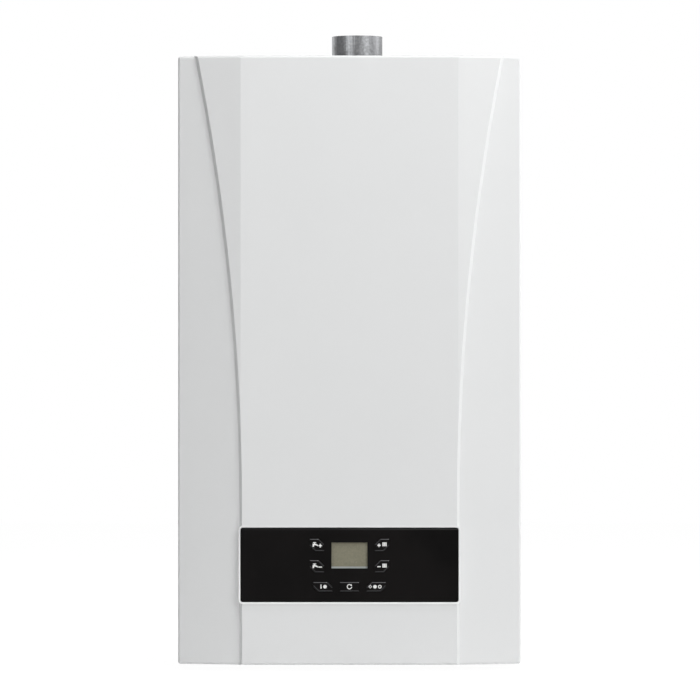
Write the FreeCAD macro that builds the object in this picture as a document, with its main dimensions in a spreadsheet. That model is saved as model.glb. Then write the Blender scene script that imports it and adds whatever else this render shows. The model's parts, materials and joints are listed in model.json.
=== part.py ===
"""A wall-mounted gas boiler with a fan flue, in millimetres.

The wall is the plane Y = 0 and the front looks along -Y. Z = 0 is the lower edge of the casing and
X = 0 its middle, with +X to the right of a person who faces the boiler.
"""
import FreeCAD, Part
import math
import os
import re
import Sketcher

SIZES = {
    # Casing and chassis of pressed steel sheet
    "casing_width": 395,
    "casing_height": 700,
    "casing_depth": 279,
    "sheet_gauge": 1,
    "pan_depth": 48,
    "fold_half_width": 125,
    "wing_drop": 16,
    "step_height": 4,
    "step_draft": 35,
    "crease_inset": 1.6,
    "crease_spread": 43.5,
    "crease_start_height": 178,
    "bend_radius": 3,
    "side_return": 14,
    "frame_depth": 95,
    "frame_return": 30,
    "hook_spacing": 260,
    "hook_height": 668,
    "hook_slot_radius": 5,
    "hook_slot_length": 30,
    "tongue_spacing": 220,
    "tongue_width": 30,
    "tongue_reach": 12,
    "tongue_drop": 6,
    "tongue_gap": 0.3,
    "rail_height": 30,
    "rail_reach": 24,
    "rail_gap": 0.3,
    "screw_spacing": 240,
    "screw_setback": 12,
    "screw_radius": 2,
    "screw_length": 9,
    "screw_head_radius": 4.2,
    "screw_head_height": 1.8,
    "screw_gap": 0.3,
    # Control fascia, keys and the box behind them
    "fascia_width": 250,
    "fascia_height": 85,
    "fascia_base": 72.4,
    "fascia_proud": 1,
    "fascia_plate": 3.5,
    "fascia_wall": 2,
    "fascia_corner": 3,
    "fascia_edge": 0.8,
    "window_gap": 0.5,
    "collar_depth": 5,
    "collar_wall": 1.5,
    "mouth_bevel": 1.3,
    "display_width": 41.7,
    "display_height": 30,
    "display_rise": 53.4,
    "display_sheet": 2,
    "display_gap": 0.2,
    "display_case_depth": 9,
    "display_case_rim": 4,
    "key_gap": 0.3,
    "key_proud": 0.4,
    "key_flange": 1.2,
    "key_flange_height": 1,
    "key_stem_radius": 1.6,
    "side_key_width": 16.4,
    "side_key_height": 13.4,
    "side_key_spacing": 74.6,
    "side_key_cut": 6.2,
    "upper_key_rise": 65.6,
    "lower_key_rise": 41.1,
    "row_key_width": 22,
    "row_key_height": 10.3,
    "row_key_spacing": 30.6,
    "row_key_cut": 5.2,
    "row_key_rise": 17.6,
    "switch_side": 6,
    "switch_body": 3.2,
    "switch_plunger": 1.2,
    "switch_gap": 1,
    "board_gauge": 1.6,
    "board_margin": 9,
    "box_width": 270,
    "box_rise": 20,
    "box_height": 126,
    "box_depth": 60,
    "box_wall": 2.5,
    "box_corner": 6,
    "ear_gap": 3,
    "ear_gauge": 1.5,
    "pin_radius": 3,
    "pin_head_radius": 4.8,
    "pin_gap": 0.3,
    "pin_rise": 14,
    "main_board_setback": 8,
    "main_board_margin": 12,
    # Sealed air box with burner, heat exchanger and fan
    "air_box_side_room": 17.5,
    "air_box_depth": 153,
    "air_box_floor": 315,
    "air_box_top": 684,
    "air_box_flange": 12,
    "cover_gauge": 1.5,
    "cover_screw_radius": 4,
    "cover_screw_height": 2.5,
    "cover_screw_inset": 6,
    "sight_height": 420,
    "sight_radius": 12,
    "sight_rim": 6,
    "sight_thickness": 4,
    "chamber_side_room": 72.5,
    "chamber_back": 100,
    "chamber_front": 235,
    "chamber_height": 116,
    "board_thickness": 10,
    "burner_height": 36,
    "burner_bar_count": 11,
    "burner_end_room": 15,
    "burner_bar_width": 12,
    "burner_bar_drop": 28,
    "burner_back": 110,
    "burner_front": 213,
    "burner_plate": 2,
    "burner_rail": 3,
    "venturi_radius": 4.5,
    "venturi_length": 25,
    "manifold_section": 16,
    "manifold_end_room": 12,
    "injector_radius": 3.5,
    "injector_length": 7,
    "probe_radius": 4,
    "probe_wire_radius": 1,
    "probe_height": 14,
    "probe_spacing": 24,
    "probe_reach": 24,
    "probe_tail": 9,
    "probe_tip": 20,
    "sensor_offset": 55,
    "probe_plate": 2,
    "probe_plate_margin": 5,
    "exchanger_height": 65,
    "exchanger_wall": 2,
    "core_height": 26,
    "fin_gauge": 1,
    "fin_pitch": 7,
    "fin_margin": 6,
    "fin_inset": 5,
    "tube_radius": 8,
    "tube_pitch": 25,
    "pipe_side_room": 42.5,
    "pipe_hole_gap": 2,
    "hood_taper_height": 35,
    "riser_left": 75,
    "riser_right": 45,
    "riser_depth": 38,
    "riser_height": 96,
    "fan_radius": 50,
    "fan_width": 52,
    "fan_centre_rise": 50,
    "fan_inlet_radius": 24,
    "fan_shaft_radius": 4,
    "fan_shaft_gap": 0.3,
    "fan_outlet_width": 56,
    "fan_outlet_rise": 52,
    "outlet_plate": 2,
    "outlet_plate_margin": 3,
    "impeller_radius": 40,
    "impeller_gap": 5,
    "impeller_blades": 20,
    "impeller_blade_depth": 9,
    "impeller_disc": 2,
    "fan_motor_radius": 30,
    "fan_motor_length": 44,
    "shaft_engagement": 18,
    "stub_x": 9,
    "stub_radius": 29.5,
    "stub_wall": 1,
    "stub_top": 728.5,
    "intake_radius": 52,
    "switch_disc_radius": 30,
    "switch_disc_depth": 22,
    "switch_disc_height": 628,
    "spigot_radius": 3,
    "spigot_length": 8,
    "spigot_spacing": 22,
    "spigot_reach": 40,
    "hose_wall": 1.5,
    "hose_bend": 6,
    # Water and gas circuit
    "connection_setback": 115,
    "column_side_room": 67.5,
    "large_stub_radius": 13.2,
    "small_stub_radius": 10.5,
    "stub_drop": 8,
    "stub_hole_gap": 1.3,
    "bracket_height": 20,
    "bracket_gauge": 2,
    "bracket_reach": 150,
    "bracket_upstand": 25,
    "bracket_side_gap": 2,
    "nut_height": 8,
    "nut_margin": 6,
    "group_radius": 17,
    "group_top": 140,
    "arm_radius": 10,
    "leg_radius": 12,
    "port_radius": 8.5,
    "lower_arm_height": 85,
    "upper_arm_height": 125,
    "port_inset": 15,
    "plate_pack_room": 30,
    "plate_pack_height": 74,
    "plate_pack_depth": 52,
    "plate_count": 12,
    "plate_groove": 1.2,
    "flow_socket_height": 118,
    "socket_radius": 11,
    "diverter_radius": 14,
    "diverter_height": 46,
    "pump_height": 190,
    "pump_radius": 45,
    "pump_depth": 38,
    "pump_motor_radius": 38,
    "pump_motor_length": 54,
    "pump_socket_rise": 55,
    "vent_offset": 25,
    "vent_radius": 13,
    "vent_height": 38,
    "vent_socket_rise": 50,
    "hose_radius": 6,
    "hose_route_bend": 18,
    "hose_socket_height": 110,
    "hose_socket_reach": 40,
    "hose_climb": 265,
    "vessel_radius": 160,
    "vessel_depth": 80,
    "vessel_height": 480,
    "vessel_dish": 14,
    "vessel_rim": 4,
    "vessel_wall": 1.5,
    "vessel_port_drop": 12,
    "gas_pipe_radius": 9,
    "gas_inlet_radius": 11,
    "gas_bend": 24,
    "gas_turn_height": 280,
    "valve_width": 80,
    "valve_depth": 56,
    "valve_base": 150,
    "valve_height": 75,
    "valve_corner": 6,
    "coil_radius": 16,
    "coil_length": 34,
    "coil_spacing": 38,
    "valve_outlet_radius": 14,
    "valve_outlet_rise": 10,
    "pipe_bend": 22,
    "return_step_height": 440,
    "safety_height": 60,
    "safety_boss": 24,
    "safety_radius": 12,
    "safety_length": 32,
    "drain_radius": 8,
    "knob_gap": 0.3,
    "safety_knob_radius": 15,
    "safety_knob_length": 18,
    "knob_spindle_radius": 4,
    "knob_lobes": 8,
    "knob_lobe_radius": 3,
    "filling_offset": 97,
    "filling_knob_radius": 13,
    "filling_knob_length": 16,
}

doc = FreeCAD.newDocument("wall_boiler")
sheet = doc.addObject("Spreadsheet::Sheet", "Sizes")
for row, (alias, number) in enumerate(SIZES.items(), 1):
    sheet.set(f"A{row}", alias)
    sheet.set(f"B{row}", str(number))
    sheet.setAlias(f"B{row}", alias)
doc.recompute()

NODES = {}

# Rotations that lay a solid made along Z along another axis
LAID = {
    "x": FreeCAD.Rotation(FreeCAD.Vector(0, 1, 0), 90),
    "y": FreeCAD.Rotation(FreeCAD.Vector(1, 0, 0), -90),
    "z": FreeCAD.Rotation(),
    "-x": FreeCAD.Rotation(FreeCAD.Vector(0, 1, 0), -90),
    "-y": FreeCAD.Rotation(FreeCAD.Vector(1, 0, 0), 90),
    "-z": FreeCAD.Rotation(FreeCAD.Vector(1, 0, 0), 180),
}


def formula(text):
    """Spell a formula of the sizes the way the sheet's own expressions want it."""
    def spell(word):
        return "Sizes." + word[0] if word[0] in SIZES else word[0]
    return re.sub(r"[a-z][a-z_0-9]*", spell, str(text))


def size(text):
    """The number that a formula of the sizes gives now."""
    return float(sheet.evalExpression(formula(text)))


def bind(thing, **formulas):
    """Bind properties of an object to formulas of the sizes."""
    for name, text in formulas.items():
        thing.setExpression(name, formula(text))


def seat(thing, axis, place):
    """Lay an object along an axis, with its start at a place that follows the sizes."""
    thing.Placement = FreeCAD.Placement(FreeCAD.Vector(), LAID[axis])
    for letter, text in zip("xyz", place):
        thing.setExpression("Placement.Base." + letter, formula(text))


def node(name, thing):
    """Give a finished piece its own name."""
    thing.Label = name
    NODES[name] = thing
    return thing


def block(name, x, y, z):
    """A plain block between two planes on each axis."""
    made = doc.addObject("Part::Box", name)
    for side, letter, (low, high) in zip(("Length", "Width", "Height"), "xyz", (x, y, z)):
        made.setExpression("Placement.Base." + letter, formula(low))
        made.setExpression(side, formula(f"({high}) - ({low})"))
    return made


def rod(name, axis, centre, span, radius):
    """A round bar along an axis; centre holds the two other coordinates in the order x, y, z."""
    made = doc.addObject("Part::Cylinder", name)
    place = list(centre)
    place.insert("xyz".index(axis), span[0])
    seat(made, axis, place)
    bind(made, Radius=radius, Height=f"({span[1]}) - ({span[0]})")
    return made


def join(name, pieces):
    """Pieces welded, cast or moulded in one."""
    made = doc.addObject("Part::MultiFuse", name)
    made.Shapes = pieces
    made.Refine = True
    return made


def carve(name, base, tools):
    """A piece with holes, slots or hollows taken out."""
    made = doc.addObject("Part::Cut", name)
    made.Base = base
    made.Tool = tools[0] if len(tools) == 1 else join(name + "_tools", tools)
    made.Refine = True
    return made


def overlap(name, first, second):
    """What two forms have in common."""
    made = doc.addObject("Part::Common", name)
    made.Base = first
    made.Tool = second
    made.Refine = True
    return made


def set_of(name, pieces):
    """Like pieces, each a solid of its own, kept under one name."""
    made = doc.addObject("Part::Compound", name)
    made.Links = pieces
    return made


def tube(name, axis, centre, span, outer, inner):
    """A round tube along an axis."""
    skin = rod(name + "_skin", axis, centre, span, outer)
    bore = rod(name + "_bore", axis, centre, span, inner)
    return carve(name, skin, [bore])


def outline(owner, name, plane, corners):
    """A sketch of straight sides on one of a body's own planes, its corners tied to the sizes."""
    sketch = owner.newObject("Sketcher::SketchObject", name)
    origin_planes = [item for item in owner.Origin.OriginFeatures if item.Role == plane]
    sketch.AttachmentSupport = [(origin_planes[0], "")]
    sketch.MapMode = "FlatFace"
    points = [FreeCAD.Vector(size(x), size(y), 0) for x, y in corners]
    for index, point in enumerate(points):
        sketch.addGeometry(Part.LineSegment(point, points[(index + 1) % len(points)]), False)
    for index in range(len(points)):
        following = (index + 1) % len(points)
        sketch.addConstraint(Sketcher.Constraint("Coincident", index, 2, following, 1))
    for index, (point, texts) in enumerate(zip(points, corners)):
        for kind, value, text in zip(("DistanceX", "DistanceY"), point, texts):
            tie = sketch.addConstraint(Sketcher.Constraint(kind, -1, 1, index, 1, value))
            sketch.setExpression(f"Constraints[{tie}]", formula(text))
    return sketch


def plate(name, plane, corners, span):
    """A pad of an outline, along the plane's own normal, from the first to the second of span."""
    body = doc.addObject("PartDesign::Body", name)
    sketch = outline(body, name + "_outline", plane, corners)
    sketch.setExpression("AttachmentOffset.Base.z", formula(span[0]))
    pad = body.newObject("PartDesign::Pad", name + "_pad")
    pad.Profile = sketch
    bind(pad, Length=f"({span[1]}) - ({span[0]})")
    return body


def turned(name, axis, place, corners):
    """A piece turned about an axis, from corners given as radius and distance along the axis."""
    body = doc.addObject("PartDesign::Body", name)
    sketch = outline(body, name + "_outline", "XZ_Plane", corners)
    spin = body.newObject("PartDesign::Revolution", name + "_turn")
    spin.Profile = sketch
    spin.ReferenceAxis = (sketch, ["V_Axis"])
    spin.Angle = 360
    seat(body, axis, place)
    return body


def rounded(body, radius, wanted):
    """Round the edges of a body's last feature that a rule picks."""
    doc.recompute()
    last = body.Tip
    edges = [f"Edge{n}" for n, edge in enumerate(last.Shape.Edges, 1) if wanted(edge)]
    bend = body.newObject("PartDesign::Fillet", body.Name + "_round" + str(len(body.Group)))
    bend.Base = (last, edges)
    bind(bend, Radius=radius)
    return body


def runs_along(letter):
    """A rule that picks straight edges along one axis."""
    def rule(edge):
        span = edge.Vertexes[-1].Point - edge.Vertexes[0].Point
        return abs(getattr(span, letter)) > 0.999 * span.Length > 0
    return rule


def pipe(name, points, bend, radius):
    """A bent pipe along straight runs joined by arcs of one radius; fittings close both its ends."""
    corners = [FreeCAD.Vector(*[size(text) for text in point]) for point in points]
    radius_of_bend = size(bend)
    edges = []
    start = corners[0]
    for before, corner, after in zip(corners, corners[1:], corners[2:]):
        inward = (before - corner).normalize()
        outward = (after - corner).normalize()
        middle = (inward + outward).normalize()
        half_turn = inward.getAngle(outward) / 2
        setback = radius_of_bend / math.tan(half_turn)
        arc_start = corner + inward * setback
        arc_end = corner + outward * setback
        depth = (setback ** 2 + radius_of_bend ** 2) ** 0.5 - radius_of_bend
        edges.append(Part.LineSegment(start, arc_start).toShape())
        edges.append(Part.Arc(arc_start, corner + middle * depth, arc_end).toShape())
        start = arc_end
    edges.append(Part.LineSegment(start, corners[-1]).toShape())
    path = Part.Wire(edges)
    along = (corners[1] - corners[0]).normalize()
    made = doc.addObject("Part::Feature", name)
    section = Part.Wire(Part.makeCircle(size(radius), corners[0], along))
    made.Shape = path.makePipeShell([section], True, False)
    return made


# Planes that many pieces share
SIDE_OUT = "casing_width / 2"
SIDE_IN = "(casing_width / 2 - sheet_gauge)"
ROOF = "(casing_height - sheet_gauge)"
PAN_BACK = "(pan_depth - casing_depth)"
WALL_FACE = "(0 - sheet_gauge)"

# Rear frame: a channel of sheet steel that hangs on two wall hooks, with returns for the air box
frame_channel = plate("frame_channel", "XY_Plane", [
    (SIDE_IN, "0"),
    (SIDE_IN, "-frame_depth"),
    (f"{SIDE_IN} - frame_return", "-frame_depth"),
    (f"{SIDE_IN} - frame_return", "sheet_gauge - frame_depth"),
    (f"{SIDE_IN} - sheet_gauge", "sheet_gauge - frame_depth"),
    (f"{SIDE_IN} - sheet_gauge", WALL_FACE),
    (f"sheet_gauge - {SIDE_IN}", WALL_FACE),
    (f"sheet_gauge - {SIDE_IN}", "sheet_gauge - frame_depth"),
    (f"frame_return - {SIDE_IN}", "sheet_gauge - frame_depth"),
    (f"frame_return - {SIDE_IN}", "-frame_depth"),
    (f"-{SIDE_IN}", "-frame_depth"),
    (f"-{SIDE_IN}", "0"),
], ("0", ROOF))
hook_cuts = []
for side, sign in (("left", "-"), ("right", "")):
    middle = f"{sign}(hook_spacing / 2)"
    half_run = "(hook_slot_length / 2 - hook_slot_radius)"
    through = ("-2 * sheet_gauge", "sheet_gauge")
    hook_cuts.append(block(f"hook_slot_{side}", (f"{middle} - {half_run}", f"{middle} + {half_run}"),
                           through,
                           ("hook_height - hook_slot_radius", "hook_height + hook_slot_radius")))
    for end, step in (("inner", "-"), ("outer", "+")):
        centre = (f"{middle} {step} {half_run}", "hook_height")
        hook_cuts.append(rod(f"hook_{end}_{side}", "y", centre, through, "hook_slot_radius"))
node("rear_frame", carve("rear_frame", frame_channel, hook_cuts))

# Side panels: flat sheets with an inward return that the front casing closes against
for side, sign in (("left", "-"), ("right", "")):
    node(f"side_panel_{side}", plate(f"side_panel_{side}", "XY_Plane", [
        (f"{sign}({SIDE_OUT})", "0"),
        (f"{sign}({SIDE_OUT})", PAN_BACK),
        (f"{sign}({SIDE_OUT} - side_return)", PAN_BACK),
        (f"{sign}({SIDE_OUT} - side_return)", f"{PAN_BACK} + sheet_gauge"),
        (f"{sign}{SIDE_IN}", f"{PAN_BACK} + sheet_gauge"),
        (f"{sign}{SIDE_IN}", "0"),
    ], ("0", ROOF)))

# Top panel: a sheet with a turned-down front edge and the air intake round the flue
STUB_Y = "(0 - chamber_back - riser_depth - fan_width / 2)"
top_sheet = plate("top_sheet", "YZ_Plane", [
    ("0", ROOF),
    ("0", "casing_height"),
    (PAN_BACK, "casing_height"),
    (PAN_BACK, f"{ROOF} - side_return"),
    (f"{PAN_BACK} + sheet_gauge", f"{ROOF} - side_return"),
    (f"{PAN_BACK} + sheet_gauge", ROOF),
], (f"-({SIDE_OUT})", SIDE_OUT))
top_ends = []
for side, low, high in (("left", f"-({SIDE_OUT})", f"side_return - {SIDE_OUT}"),
                        ("right", f"{SIDE_OUT} - side_return", SIDE_OUT)):
    top_ends.append(block(f"top_end_{side}", (low, high), (PAN_BACK, f"{PAN_BACK} + sheet_gauge"),
                          (f"{ROOF} - side_return", ROOF)))
intake_hole = rod("intake_hole", "z", ("stub_x", STUB_Y),
                  (f"{ROOF} - side_return", "casing_height + sheet_gauge"),
                  "intake_radius")
tongue_slots = []
for side, sign in (("left", "-"), ("right", "")):
    middle = f"{sign}(tongue_spacing / 2)"
    half = "(tongue_width / 2 + tongue_gap)"
    tongue_slots.append(block(f"tongue_slot_{side}", (f"{middle} - {half}", f"{middle} + {half}"),
                              (f"{PAN_BACK} - sheet_gauge", f"{PAN_BACK} + 2 * sheet_gauge"),
                              (f"{ROOF} - tongue_drop - sheet_gauge - tongue_gap",
                               f"{ROOF} - tongue_drop + tongue_gap")))
node("top_panel", carve("top_panel", top_sheet, top_ends + [intake_hole] + tongue_slots))

# Front casing: a pan with sloping wings, whose raised centre field widens along two curved creases
CREASE_X = "(fold_half_width - crease_inset)"
CREASE_RISE = "(casing_height - crease_start_height)"
CREASE_RADIUS = f"((crease_spread ^ 2 + {CREASE_RISE} ^ 2) / (2 * crease_spread))"
FORM_DEPTH = "(step_height + wing_drop)"
OVERRUN = "step_height"


def pan_prism(name, inset, front, back):
    """The plain folded form: a flat centre with a wing that slopes back on each side."""
    half = f"(casing_width / 2 - {inset})"
    slope = "(wing_drop / (casing_width / 2 - fold_half_width))"
    wing_end = f"{front} + {slope} * ({half} - fold_half_width)"
    body = plate(name, "XY_Plane", [
        (half, back),
        (half, wing_end),
        ("fold_half_width", front),
        ("-fold_half_width", front),
        (f"-{half}", wing_end),
        (f"-{half}", back),
    ], (inset, f"casing_height - {inset}"))
    rear = size(back)
    fold = size("fold_half_width")

    def bent(edge):
        ends = [vertex.Point for vertex in edge.Vertexes]
        at_rear = all(abs(point.y - rear) < 0.01 for point in ends)
        on_fold = all(abs(abs(point.x) - fold) < 0.01 for point in ends) and ends[0].z != ends[-1].z
        return not at_rear and not on_fold
    return rounded(body, f"bend_radius - {inset}", bent)


def crease_block(name, inset):
    """The block that the raised field is cut from: drafted sides, upright below and curved above."""
    side = f"({CREASE_X} - {inset} / cos(step_draft))"
    near = f"(-casing_depth - {OVERRUN})"
    far = f"(-casing_depth + {FORM_DEPTH} + {OVERRUN})"
    top = f"(casing_height + {OVERRUN})"
    lower = doc.addObject("Part::Wedge", name + "_lower")
    near_half = f"({side} - {OVERRUN} * tan(step_draft))"
    far_half = f"({side} + ({FORM_DEPTH} + {OVERRUN}) * tan(step_draft))"
    bind(lower, Xmin=f"-{near_half}", Xmax=near_half, X2min=f"-{far_half}", X2max=far_half,
         Ymin=near, Ymax=far, Zmin=f"-{OVERRUN}", Z2min=f"-{OVERRUN}",
         Zmax="crease_start_height", Z2max="crease_start_height")
    upper = block(name + "_upper", (f"-({SIDE_OUT})", SIDE_OUT), (near, far), ("crease_start_height", top))
    flanks = []
    for hand, sign in (("left", "-"), ("right", "")):
        flank = doc.addObject("Part::Cone", f"{name}_flank_{hand}")
        seat(flank, "y", (f"{sign}({CREASE_X} + {CREASE_RADIUS})", near, "crease_start_height"))
        gap = f"{inset} / cos(step_draft)"
        bind(flank, Radius1=f"{CREASE_RADIUS} + {gap} + {OVERRUN} * tan(step_draft)",
             Radius2=f"{CREASE_RADIUS} + {gap} - ({FORM_DEPTH} + {OVERRUN}) * tan(step_draft)",
             Height=f"{far} - {near}")
        flanks.append(flank)
    return join(name, [lower, carve(name + "_curved", upper, flanks)])


def casing_form(name, inset, back):
    """The casing's outer form, or the form of its hollow when inset by the sheet's gauge."""
    base = pan_prism(name + "_base", inset, f"(-casing_depth + step_height + {inset})", back)
    lifted = pan_prism(name + "_lifted", inset, f"(-casing_depth + {inset})", back)
    field = overlap(name + "_field", lifted, crease_block(name + "_crease", inset))
    return join(name, [base, field])


outer_form = casing_form("casing_outer", "0", PAN_BACK)
hollow_form = casing_form("casing_hollow", "sheet_gauge", f"({PAN_BACK} + bend_radius)")
pan_shell = carve("pan_shell", outer_form, [hollow_form])

WINDOW_X = "(fascia_width / 2 + window_gap)"
WINDOW_LOW = "(fascia_base - window_gap)"
WINDOW_HIGH = "(fascia_base + fascia_height + window_gap)"
window_cut = rounded(plate("window_cut", "XZ_Plane", [
    (f"-{WINDOW_X}", WINDOW_LOW),
    (WINDOW_X, WINDOW_LOW),
    (WINDOW_X, WINDOW_HIGH),
    (f"-{WINDOW_X}", WINDOW_HIGH),
], ("casing_depth - pan_depth", "casing_depth + step_height")), "fascia_corner + window_gap",
                     runs_along("y"))
collar_block = block("collar_block", (f"-{WINDOW_X} - collar_wall", f"{WINDOW_X} + collar_wall"),
                     ("-casing_depth", "collar_depth - casing_depth"),
                     (f"{WINDOW_LOW} - collar_wall", f"{WINDOW_HIGH} + collar_wall"))
collar = overlap("collar", collar_block, outer_form)
mouth_cuts = []
for edge_name, level, tip in (("sill", WINDOW_LOW, "-"), ("head", WINDOW_HIGH, "+")):
    mouth_cuts.append(plate(f"mouth_{edge_name}", "YZ_Plane", [
        ("-casing_depth", level),
        ("-casing_depth", f"{level} {tip} mouth_bevel"),
        ("mouth_bevel - casing_depth", level),
    ], ("fascia_corner - fascia_width / 2", "fascia_width / 2 - fascia_corner")))
SCREW_Y = f"({PAN_BACK} - screw_setback)"
SCREW_SIDES = (("left", "-(screw_spacing / 2)"), ("right", "(screw_spacing / 2)"))
screw_holes = []
for side, x in SCREW_SIDES:
    screw_holes.append(rod(f"screw_hole_{side}", "z", (x, SCREW_Y), ("-sheet_gauge", "2 * sheet_gauge"),
                           "screw_radius + screw_gap"))
TONGUE_Z = f"({ROOF} - tongue_drop)"
tongues = []
for side, sign in (("left", "-"), ("right", "")):
    middle = f"{sign}(tongue_spacing / 2)"
    tongues.append(plate(f"tongue_{side}", "YZ_Plane", [
        (f"{PAN_BACK} - tongue_reach", ROOF),
        (f"{PAN_BACK} - tongue_reach", f"{TONGUE_Z} - sheet_gauge"),
        (f"{PAN_BACK} + tongue_reach", f"{TONGUE_Z} - sheet_gauge"),
        (f"{PAN_BACK} + tongue_reach", TONGUE_Z),
        (f"{PAN_BACK} - tongue_reach + sheet_gauge", TONGUE_Z),
        (f"{PAN_BACK} - tongue_reach + sheet_gauge", ROOF),
    ], (f"{middle} - tongue_width / 2", f"{middle} + tongue_width / 2")))
node("front_casing", carve("front_casing", join("pan_with_collar", [pan_shell, collar] + tongues),
                           [window_cut] + mouth_cuts + screw_holes))

# Casing screws: two pan-head screws through the casing's lower edge, captive in it
screws = []
for side, x in SCREW_SIDES:
    shank = rod(f"screw_shank_{side}", "z", (x, SCREW_Y), ("0", "screw_length"), "screw_radius")
    head = rod(f"screw_head_{side}", "z", (x, SCREW_Y), ("-screw_head_height", "0"), "screw_head_radius")
    screws.append(join(f"casing_screw_{side}", [shank, head]))
node("casing_screws", set_of("casing_screws", screws))

# Front rail: an angle between the side panels, slotted for the casing screws, with two hinge ears
RAIL_FLOOR = "(sheet_gauge + rail_gap)"
RAIL_Y = f"({PAN_BACK} + sheet_gauge)"
BOX_Z = "(fascia_base - box_rise)"
PIN_Z = f"({BOX_Z} + pin_rise)"
EAR_IN = "(box_width / 2 + ear_gap)"
PIN_Y = f"({PAN_BACK} - screw_setback / 2)"
rail_up = block("rail_up", (f"-{SIDE_IN}", SIDE_IN), (RAIL_Y, f"{RAIL_Y} + ear_gauge"),
                (RAIL_FLOOR, "rail_height"))
rail_reach_half = f"({SIDE_OUT} - side_return - rail_gap)"
rail_foot = block("rail_foot", (f"-{rail_reach_half}", rail_reach_half),
                  (f"{PAN_BACK} - rail_reach", RAIL_Y),
                  (RAIL_FLOOR, f"{RAIL_FLOOR} + ear_gauge"))
ears = []
ear_holes = []
for side, low, high in (("left", f"-{EAR_IN} - ear_gauge", f"-{EAR_IN}"),
                        ("right", EAR_IN, f"{EAR_IN} + ear_gauge")):
    ears.append(block(f"ear_{side}", (low, high), (f"{PIN_Y} - screw_setback", RAIL_Y),
                      (RAIL_FLOOR, f"{PIN_Z} + screw_setback")))
    ear_holes.append(rod(f"ear_hole_{side}", "x", (PIN_Y, PIN_Z),
                         (f"{low} - ear_gauge", f"{high} + ear_gauge"),
                         "pin_radius + pin_gap"))
rail_slots = []
for side, x in SCREW_SIDES:
    slot_half = "(screw_radius + screw_gap)"
    rail_slots.append(block(f"rail_slot_{side}", (f"{x} - {slot_half}", f"{x} + {slot_half}"),
                            (f"{PAN_BACK} - rail_reach - ear_gauge", SCREW_Y), ("0", "rail_height / 2")))
    rail_slots.append(rod(f"rail_slot_end_{side}", "z", (x, SCREW_Y), ("0", "rail_height / 2"), slot_half))
node("front_rail", carve("front_rail", join("rail_blank", [rail_up, rail_foot] + ears),
                         ear_holes + rail_slots))

# Control fascia: a black moulded tray with openings for the display and seven keys
FASCIA_FRONT = "(-casing_depth - fascia_proud)"
FASCIA_BACK = f"({FASCIA_FRONT} + fascia_plate)"
BOX_FRONT = "(collar_depth + fascia_plate - casing_depth)"
FASCIA_TOP = "(fascia_base + fascia_height)"
DISPLAY_Z = "(fascia_base + display_rise)"


def facing(corners, centre, margin):
    """Corners of a face seen from the front, set about a centre and grown by a margin."""
    grown = []
    for x, z in corners:
        reach_x = f"{margin}" if not x.startswith("-") else f"-{margin}"
        reach_z = f"{margin}" if not z.startswith("-") else f"-{margin}"
        grown.append((f"{centre[0]} + {x} + ({reach_x})", f"{centre[1]} + {z} + ({reach_z})"))
    return grown


def slab(name, corners, centre, margin, near, far):
    """A slab seen from the front, from the plane near (further from the wall) to the plane far."""
    return plate(name, "XZ_Plane", facing(corners, centre, margin), (f"-({far})", f"-({near})"))


def rectangle(width, height):
    """The four corners of a rectangle about its middle."""
    return [
        (f"-{width} / 2", f"-{height} / 2"),
        (f"{width} / 2", f"-{height} / 2"),
        (f"{width} / 2", f"{height} / 2"),
        (f"-{width} / 2", f"{height} / 2"),
    ]


def clipped(width, height, cut, first, second):
    """A rectangle with two opposite corners cut off at a slant; first and second name them."""
    corners = []
    for index, (x, z) in enumerate(rectangle(width, height)):
        if index not in (first, second):
            corners.append((x, z))
            continue
        inward_x = "+" if x.startswith("-") else "-"
        inward_z = "+" if z.startswith("-") else "-"
        on_side = (x, f"{z} {inward_z} {cut}")
        on_edge = (f"{x} {inward_x} {cut}", z)
        corners.extend([on_side, on_edge] if index in (0, 2) else [on_edge, on_side])
    return corners


# Each key: its outline and its place on the fascia
SIDE_KEY = ("side_key_width", "side_key_height", "side_key_cut")
ROW_KEY = ("row_key_width", "row_key_height", "row_key_cut")
LEFT_KEYS_X = "-(side_key_spacing / 2)"
RIGHT_KEYS_X = "(side_key_spacing / 2)"
KEYS = {
    "key_water_plus": (clipped(*SIDE_KEY, 0, 2), (LEFT_KEYS_X, "(fascia_base + upper_key_rise)")),
    "key_water_minus": (clipped(*SIDE_KEY, 0, 2), (LEFT_KEYS_X, "(fascia_base + lower_key_rise)")),
    "key_heating_plus": (clipped(*SIDE_KEY, 1, 3), (RIGHT_KEYS_X, "(fascia_base + upper_key_rise)")),
    "key_heating_minus": (clipped(*SIDE_KEY, 1, 3), (RIGHT_KEYS_X, "(fascia_base + lower_key_rise)")),
    "key_season": (clipped(*ROW_KEY, 0, 2), ("-row_key_spacing", "(fascia_base + row_key_rise)")),
    "key_reset": (rectangle(*ROW_KEY[:2]), ("0", "(fascia_base + row_key_rise)")),
    "key_power": (clipped(*ROW_KEY, 1, 3), ("row_key_spacing", "(fascia_base + row_key_rise)")),
}
FASCIA_MIDDLE = ("0", "(fascia_base + fascia_height / 2)")
DISPLAY_MIDDLE = ("0", DISPLAY_Z)
DISPLAY_FACE = rectangle("display_width", "display_height")


def on_front_rim(edge):
    """Picks the outer edges of a fascia's front face."""
    front = size(FASCIA_FRONT)
    return all(abs(vertex.Point.y - front) < 0.01 for vertex in edge.Vertexes)


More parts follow.
